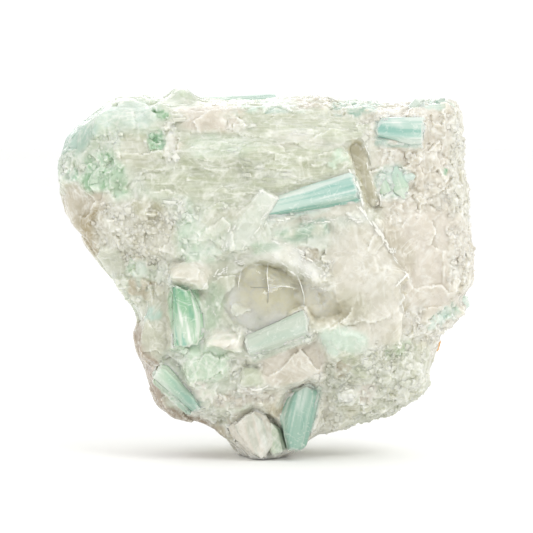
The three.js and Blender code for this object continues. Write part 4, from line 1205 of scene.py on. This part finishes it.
def lens_piece(material):
    """The clear quartz in the middle of the front."""
    parts, triangles, start = [], [], 0
    for lump in LENS_LUMPS:
        turn = Euler([math.radians(a) for a in lump["turn"]], "ZYX").to_matrix()
        raw = lump_points(lump["size"], lump["seed"], lump["count"])
        corners, faces = hull_arrays([turn @ Vector(p) + Vector(lump["middle"]) for p in raw])
        parts.append(corners)
        triangles.append(faces + start)
        start += len(corners)
    mesh = mesh_of_triangles("clear_lens", np.concatenate(parts), np.concatenate(triangles))
    mesh = with_modifier(mesh, "REMESH", mode="VOXEL", voxel_size=LENS_GRAIN * MM, adaptivity=0)
    points = coordinates(mesh) / MM
    for _ in range(2):
        points = points * 0.4 + neighbour_mean(mesh, points) * 0.6
    set_coordinates(mesh, points * MM)
    outward = normals(mesh)
    height = 0.12 * cloudy(points, 4, 311) + 0.5 * facets(points, 7, 301, 0.3, 0.8)
    height = height * 0.5 + neighbour_mean(mesh, height) * 0.5
    set_coordinates(mesh, (points + outward * (height - LENS_SUNK)[:, None]) * MM)
    mesh.name = "clear_lens"
    mesh.shade_smooth()
    return new_piece("clear_lens", mesh, material)


# Fracture planes inside the clear quartz, seen on edge: x and z of their points, near and far depth in mm.
CRACKS = [
    ([(0.4, 39), (0.2, 36.6), (0.5, 34), (0.3, 31.2)], (-23.2, -21.4)),
    ([(6.1, 36.6), (6.9, 34.6), (7.5, 32.4), (7.4, 30)], (-22.6, -20.4)),
    ([(-3, 34.2), (0.6, 34), (3.4, 34.4), (6.2, 34)], (-22.4, -21.8)),
    ([(-4.8, 37.8), (-5.4, 35), (-5, 31.6)], (-22.2, -21.4)),
]
CRACK_WIDTH = 0.16


def cracks_piece(material):
    """Thin white fracture planes inside the clear quartz."""
    points, triangles = [], []
    for line, (near, far) in CRACKS:
        start = len(points)
        for i, (x, z) in enumerate(line):
            before, after = line[max(i - 1, 0)], line[min(i + 1, len(line) - 1)]
            dx, dz = after[0] - before[0], after[1] - before[1]
            length = math.hypot(dx, dz)
            half = CRACK_WIDTH / 2 * (0.4 if i in (0, len(line) - 1) else 1)
            nx, nz = -dz / length * half, dx / length * half
            for y in (near, far):
                for side in (-1, 1):
                    lift = (VIEW_MIDDLE[1] - y) * math.tan(math.radians(ELEVATION))
                    points.append((x + nx * side, y, z + nz * side + lift))
        quads = [(0, 1, 3, 2)]
        for i in range(len(line) - 1):
            a, b = 4 * i, 4 * i + 4
            quads += [(a, b, b + 1, a + 1), (a + 1, b + 1, b + 3, a + 3), (a + 3, b + 3, b + 2, a + 2), (a + 2, b + 2, b, a)]
        last = 4 * (len(line) - 1)
        quads.append((last, last + 2, last + 3, last + 1))
        for a, b, c, d in quads:
            triangles += [(start + a, start + b, start + c), (start + a, start + c, start + d)]
    mesh = mesh_of_triangles("lens_cracks", np.array(points), np.array(triangles))
    work = bmesh.new()
    work.from_mesh(mesh)
    bmesh.ops.recalc_face_normals(work, faces=work.faces)
    work.to_mesh(mesh)
    work.free()
    paint(mesh, "tint", np.tile(SNOW, (len(points), 1)))
    return new_piece("lens_cracks", mesh, material)


SPECK_AT = (34.3, 21.6)
SPECK_SIZE = (0.5, 0.4, 1.4)


def speck_piece(grown, shapes, material):
    """The ochre speck on the right edge."""
    points = grown["points"]
    near = np.abs(points[:, 2] - SPECK_AT[1]) < 0.6
    front = np.where(near & (points[:, 1] < 2), points[:, 0], -99)
    place = points[int(front.argmax())] - (0.1, 0, 0)
    corners, triangles = shapes[1]
    turn = np.array(Euler((0, math.radians(18), 0)).to_matrix())
    mesh = mesh_of_triangles("ochre_speck", (corners * SPECK_SIZE) @ turn.T + place, triangles)
    paint(mesh, "tint", np.tile(OCHRE, (len(corners), 1)))
    mesh.shade_flat()
    return new_piece("ochre_speck", mesh, material)


def bare_material(name):
    material = bpy.data.materials.new(name)
    material.use_nodes = True
    tree = material.node_tree
    tree.nodes.clear()
    output = tree.nodes.new("ShaderNodeOutputMaterial")
    shader = tree.nodes.new("ShaderNodeBsdfPrincipled")
    tree.links.new(shader.outputs[0], output.inputs[0])
    return material, tree, shader, output


def attribute(tree, name, output="Fac"):
    made = tree.nodes.new("ShaderNodeAttribute")
    made.attribute_name = name
    return made.outputs[output]


def fill(tree, socket, value):
    if isinstance(value, bpy.types.NodeSocket):
        tree.links.new(value, socket)
    elif isinstance(value, tuple):
        socket.default_value = (*value, 1)
    else:
        socket.default_value = value


def mix(tree, factor, first, second, blend="MIX"):
    """A colour mix. Factor, first and second are sockets or plain values."""
    made = tree.nodes.new("ShaderNodeMix")
    made.data_type = "RGBA"
    made.blend_type = blend
    fill(tree, made.inputs[0], factor)
    fill(tree, made.inputs[6], first)
    fill(tree, made.inputs[7], second)
    return made.outputs[2]


def ramp(tree, value, low, high, low_value=0.0, high_value=1.0):
    made = tree.nodes.new("ShaderNodeMapRange")
    made.interpolation_type = "SMOOTHSTEP"
    for name, number in zip(("From Min", "From Max", "To Min", "To Max"), (low, high, low_value, high_value)):
        made.inputs[name].default_value = number
    tree.links.new(value, made.inputs["Value"])
    return made.outputs["Result"]


def stretched_place(tree, stretch, turn=0):
    place = tree.nodes.new("ShaderNodeTexCoord")
    mapping = tree.nodes.new("ShaderNodeMapping")
    mapping.vector_type = "TEXTURE"
    mapping.inputs["Rotation"].default_value = (0, math.radians(turn), 0)
    mapping.inputs["Scale"].default_value = [1 / s for s in stretch]
    tree.links.new(place.outputs["Object"], mapping.inputs["Vector"])
    return mapping.outputs[0]


def noise(tree, scale, detail=3.0, stretch=(1, 1, 1), distortion=0.0, turn=0):
    """Noise in the object's own metres, stretched along the axes, which are turned about Y."""
    made = tree.nodes.new("ShaderNodeTexNoise")
    made.inputs["Scale"].default_value = scale
    made.inputs["Detail"].default_value = detail
    made.inputs["Distortion"].default_value = distortion
    tree.links.new(stretched_place(tree, stretch, turn), made.inputs["Vector"])
    return made.outputs[0]


def arithmetic(tree, operation, first, second):
    made = tree.nodes.new("ShaderNodeMath")
    made.operation = operation
    fill(tree, made.inputs[0], first)
    fill(tree, made.inputs[1], second)
    return made.outputs[0]


def multiply(tree, first, second):
    return arithmetic(tree, "MULTIPLY", first, second)


def veils(tree, scale, width, stretch=(1, 1, 1)):
    """Thin wandering lines where the quartz has cracked and healed: 1 on a line, 0 away from it."""
    wander = noise(tree, scale, 3, stretch, 0.8)
    away = arithmetic(tree, "ABSOLUTE", arithmetic(tree, "SUBTRACT", wander, 0.5), 0)
    return ramp(tree, away, width, 0.0)


def bump(tree, shader, height, distance, strength=1.0):
    made = tree.nodes.new("ShaderNodeBump")
    made.inputs["Distance"].default_value = distance
    made.inputs["Strength"].default_value = strength
    tree.links.new(height, made.inputs["Height"])
    tree.links.new(made.outputs[0], shader.inputs["Normal"])


def quartz_material(name, glow):
    """Milky quartz: white edges, veils and fine cracks, between glassy and sugary, and painted shade in its creases.
    Light glows that deep, in m.
    """
    material, tree, shader, _ = bare_material(name)
    tint = attribute(tree, "tint", "Color")
    edge = attribute(tree, "edge")
    crease_shade = attribute(tree, "crease_shade")
    sugar = attribute(tree, "sugar")
    slab = attribute(tree, "slab")
    clouds = ramp(tree, noise(tree, 420, 5), 0.35, 0.65)
    streaks = ramp(tree, noise(tree, 900, 3, (0.12, 1, 1), 0.3), 0.35, 0.7)
    speckle = ramp(tree, noise(tree, 1500, 3), 0.35, 0.7)
    patches = ramp(tree, noise(tree, 330, 3), 0.42, 0.62)
    fibres = ramp(tree, noise(tree, 2600, 2, (0.09, 1, 1), 0.2), 0.4, 0.75)
    wide_veils = multiply(tree, veils(tree, 120, 0.014, (0.6, 1, 1.2)), patches)
    fine_veils = multiply(tree, veils(tree, 380, 0.03), patches)
    # Painted shade: hollows and creases are darkened towards tan, where shade falls.
    deeper = mix(tree, 1.0, tint, (0.82, 0.78, 0.66), "MULTIPLY")
    colour = mix(tree, multiply(tree, crease_shade, 0.25), tint, deeper)
    for turn, seed in ((35, 0.4), (-50, 0.9), (80, 1.7)):
        mask = ramp(tree, noise(tree, 210 + 30 * seed, 2, (1, 1, 1), seed), 0.5, 0.62)
        hatch = ramp(tree, noise(tree, 1500, 2, (0.1, 1, 1), 0.1, turn), 0.42, 0.7)
        colour = mix(tree, multiply(tree, multiply(tree, mask, hatch), 0.45), colour, SNOW)
    colour = mix(tree, clouds, mix(tree, 0.16, colour, (0.5, 0.48, 0.36), "MULTIPLY"), mix(tree, 0.08, colour, SNOW))
    dim = mix(tree, 1.0, colour, (0.92, 0.92, 0.87), "MULTIPLY")
    streaked = mix(tree, streaks, dim, mix(tree, 0.3, colour, SNOW))
    streaked = mix(tree, multiply(tree, fibres, 0.35), streaked, SNOW)
    colour = mix(tree, multiply(tree, slab, 0.8), colour, streaked)
    speckled = mix(tree, speckle, dim, mix(tree, 0.35, colour, SNOW))
    colour = mix(tree, multiply(tree, sugar, 0.7), colour, speckled)
    colour = mix(tree, multiply(tree, wide_veils, 0.5), colour, SNOW)
    colour = mix(tree, multiply(tree, fine_veils, 0.3), colour, SNOW)
    colour = mix(tree, multiply(tree, edge, 0.55), colour, SNOW)
    tree.links.new(colour, shader.inputs["Base Color"])
    tree.links.new(ramp(tree, arithmetic(tree, "ADD", sugar, clouds), 0, 2, 0.22, 0.5), shader.inputs["Roughness"])
    shader.inputs["IOR"].default_value = 1.54
    if glow:
        shader.inputs["Subsurface Weight"].default_value = 1
        shader.inputs["Subsurface Radius"].default_value = (1, 0.97, 0.88)
        shader.inputs["Subsurface Scale"].default_value = glow
    bump(tree, shader, noise(tree, 1300, 4), 0.00012, 0.5)
    return material


def tourmaline_material():
    material, tree, shader, _ = bare_material("tourmaline")
    flecks = ramp(tree, noise(tree, 1100, 3, (0.6, 1, 1), 0.5), 0.6, 0.72)
    colour = mix(tree, multiply(tree, flecks, 0.2), attribute(tree, "tint", "Color"), SNOW)
    colour = mix(tree, multiply(tree, veils(tree, 260, 0.012), 0.3), colour, SNOW)
    tree.links.new(colour, shader.inputs["Base Color"])
    tree.links.new(ramp(tree, flecks, 0, 1, 0.2, 0.4), shader.inputs["Roughness"])
    shader.inputs["IOR"].default_value = 1.63
    bump(tree, shader, noise(tree, 2200, 3), 0.00006, 0.4)
    return material


def clear_material():
    material, tree, shader, output = bare_material("clear_quartz")
    shader.inputs["Base Color"].default_value = (1, 1, 1, 1)
    shader.inputs["Transmission Weight"].default_value = 1
    shader.inputs["IOR"].default_value = 1.54
    tree.links.new(ramp(tree, noise(tree, 180, 3), 0.4, 0.7, 0.0, 0.04), shader.inputs["Roughness"])
    bump(tree, shader, noise(tree, 300, 3), 0.0001, 0.4)
    absorption = tree.nodes.new("ShaderNodeVolumeAbsorption")
    absorption.inputs["Color"].default_value = (0.86, 0.84, 0.7, 1)
    absorption.inputs["Density"].default_value = 30
    tree.links.new(absorption.outputs[0], output.inputs["Volume"])
    return material


def floor():
    mesh = bpy.data.meshes.new("floor")
    half = 3
    mesh.from_pydata([(-half, -half, 0), (half, -half, 0), (half, half, 0), (-half, half, 0)], [], [(0, 1, 2, 3)])
    plane = bpy.data.objects.new("floor", mesh)
    bpy.context.scene.collection.objects.link(plane)
    material, tree, shader, _ = bare_material("pale_floor")
    colour = mix(tree, ramp(tree, noise(tree, 3, 2), 0.3, 0.7), (0.95, 0.95, 0.94), (0.97, 0.97, 0.96))
    tree.links.new(colour, shader.inputs["Base Color"])
    shader.inputs["Roughness"].default_value = 0.9
    mesh.materials.append(material)


def light(name, place, target, size, power):
    data = bpy.data.lights.new(name, "AREA")
    data.shape = "DISK"
    data.size = size
    data.energy = power
    lamp = bpy.data.objects.new(name, data)
    lamp.location = place
    lamp.rotation_euler = (Vector(target) - Vector(place)).to_track_quat("-Z", "Y").to_euler()
    bpy.context.scene.collection.objects.link(lamp)


def studio():
    scene = bpy.context.scene
    world = bpy.data.worlds.new("studio")
    scene.world = world
    world.use_nodes = True
    background = world.node_tree.nodes["Background"]
    background.inputs["Color"].default_value = (1, 1, 1, 1)
    background.inputs["Strength"].default_value = 1.05
    middle = (0, 0, 0.04)
    light("key", (0.35, -0.45, 0.5), middle, 0.35, 1.3)
    light("fill", (-0.5, -0.5, 0.25), middle, 0.5, 0.2)
    light("back", (-0.1, 0.6, 0.4), middle, 0.5, 0.8)
    scene.view_settings.view_transform = "Standard"
    scene.view_settings.look = "None"
    scene.view_settings.exposure = 0
    floor()


def camera():
    data = bpy.data.cameras.new("camera")
    data.lens = FOCAL
    data.sensor_width = SENSOR
    data.sensor_fit = "HORIZONTAL"
    data.clip_start = 0.01
    data.clip_end = 20
    lens = bpy.data.objects.new("camera", data)
    distance = FRAME_PIXELS * PIXEL_MM * MM * FOCAL / SENSOR
    target = Vector(VIEW_MIDDLE) * MM
    tilt = math.radians(ELEVATION)
    lens.location = target + Vector((0, -math.cos(tilt), math.sin(tilt))) * distance
    lens.rotation_euler = (target - lens.location).to_track_quat("-Z", "Y").to_euler()
    bpy.context.scene.collection.objects.link(lens)
    bpy.context.scene.camera = lens


camera()
studio()
lens = lens_piece(clear_material())
quartz = quartz_material("milky_quartz", BODY_GLOW)
grain_quartz = quartz_material("sugary_quartz", 0)
grown = body_piece(quartz, lens.data)
grain_shapes = [grain_shape(seed) for seed in range(GRAIN_SHAPES)]
for crust in CRUSTS:
    crust_piece(crust, grown, grain_shapes, grain_quartz)
tourmaline = tourmaline_material()
for number, entry in enumerate(PRISMS):
    if entry[0] in QUARTZ_CRYSTALS:
        front_crystal(number, entry, grain_quartz)
    elif entry[0] in OUTLINES:
        front_crystal(number, entry, tourmaline)
    elif entry[0] not in SUNKEN:
        prism_piece(number, entry, tourmaline)
cracks_piece(grain_quartz)
veins_piece(grown, grain_shapes, grain_quartz)
speck_piece(grown, grain_shapes, grain_quartz)
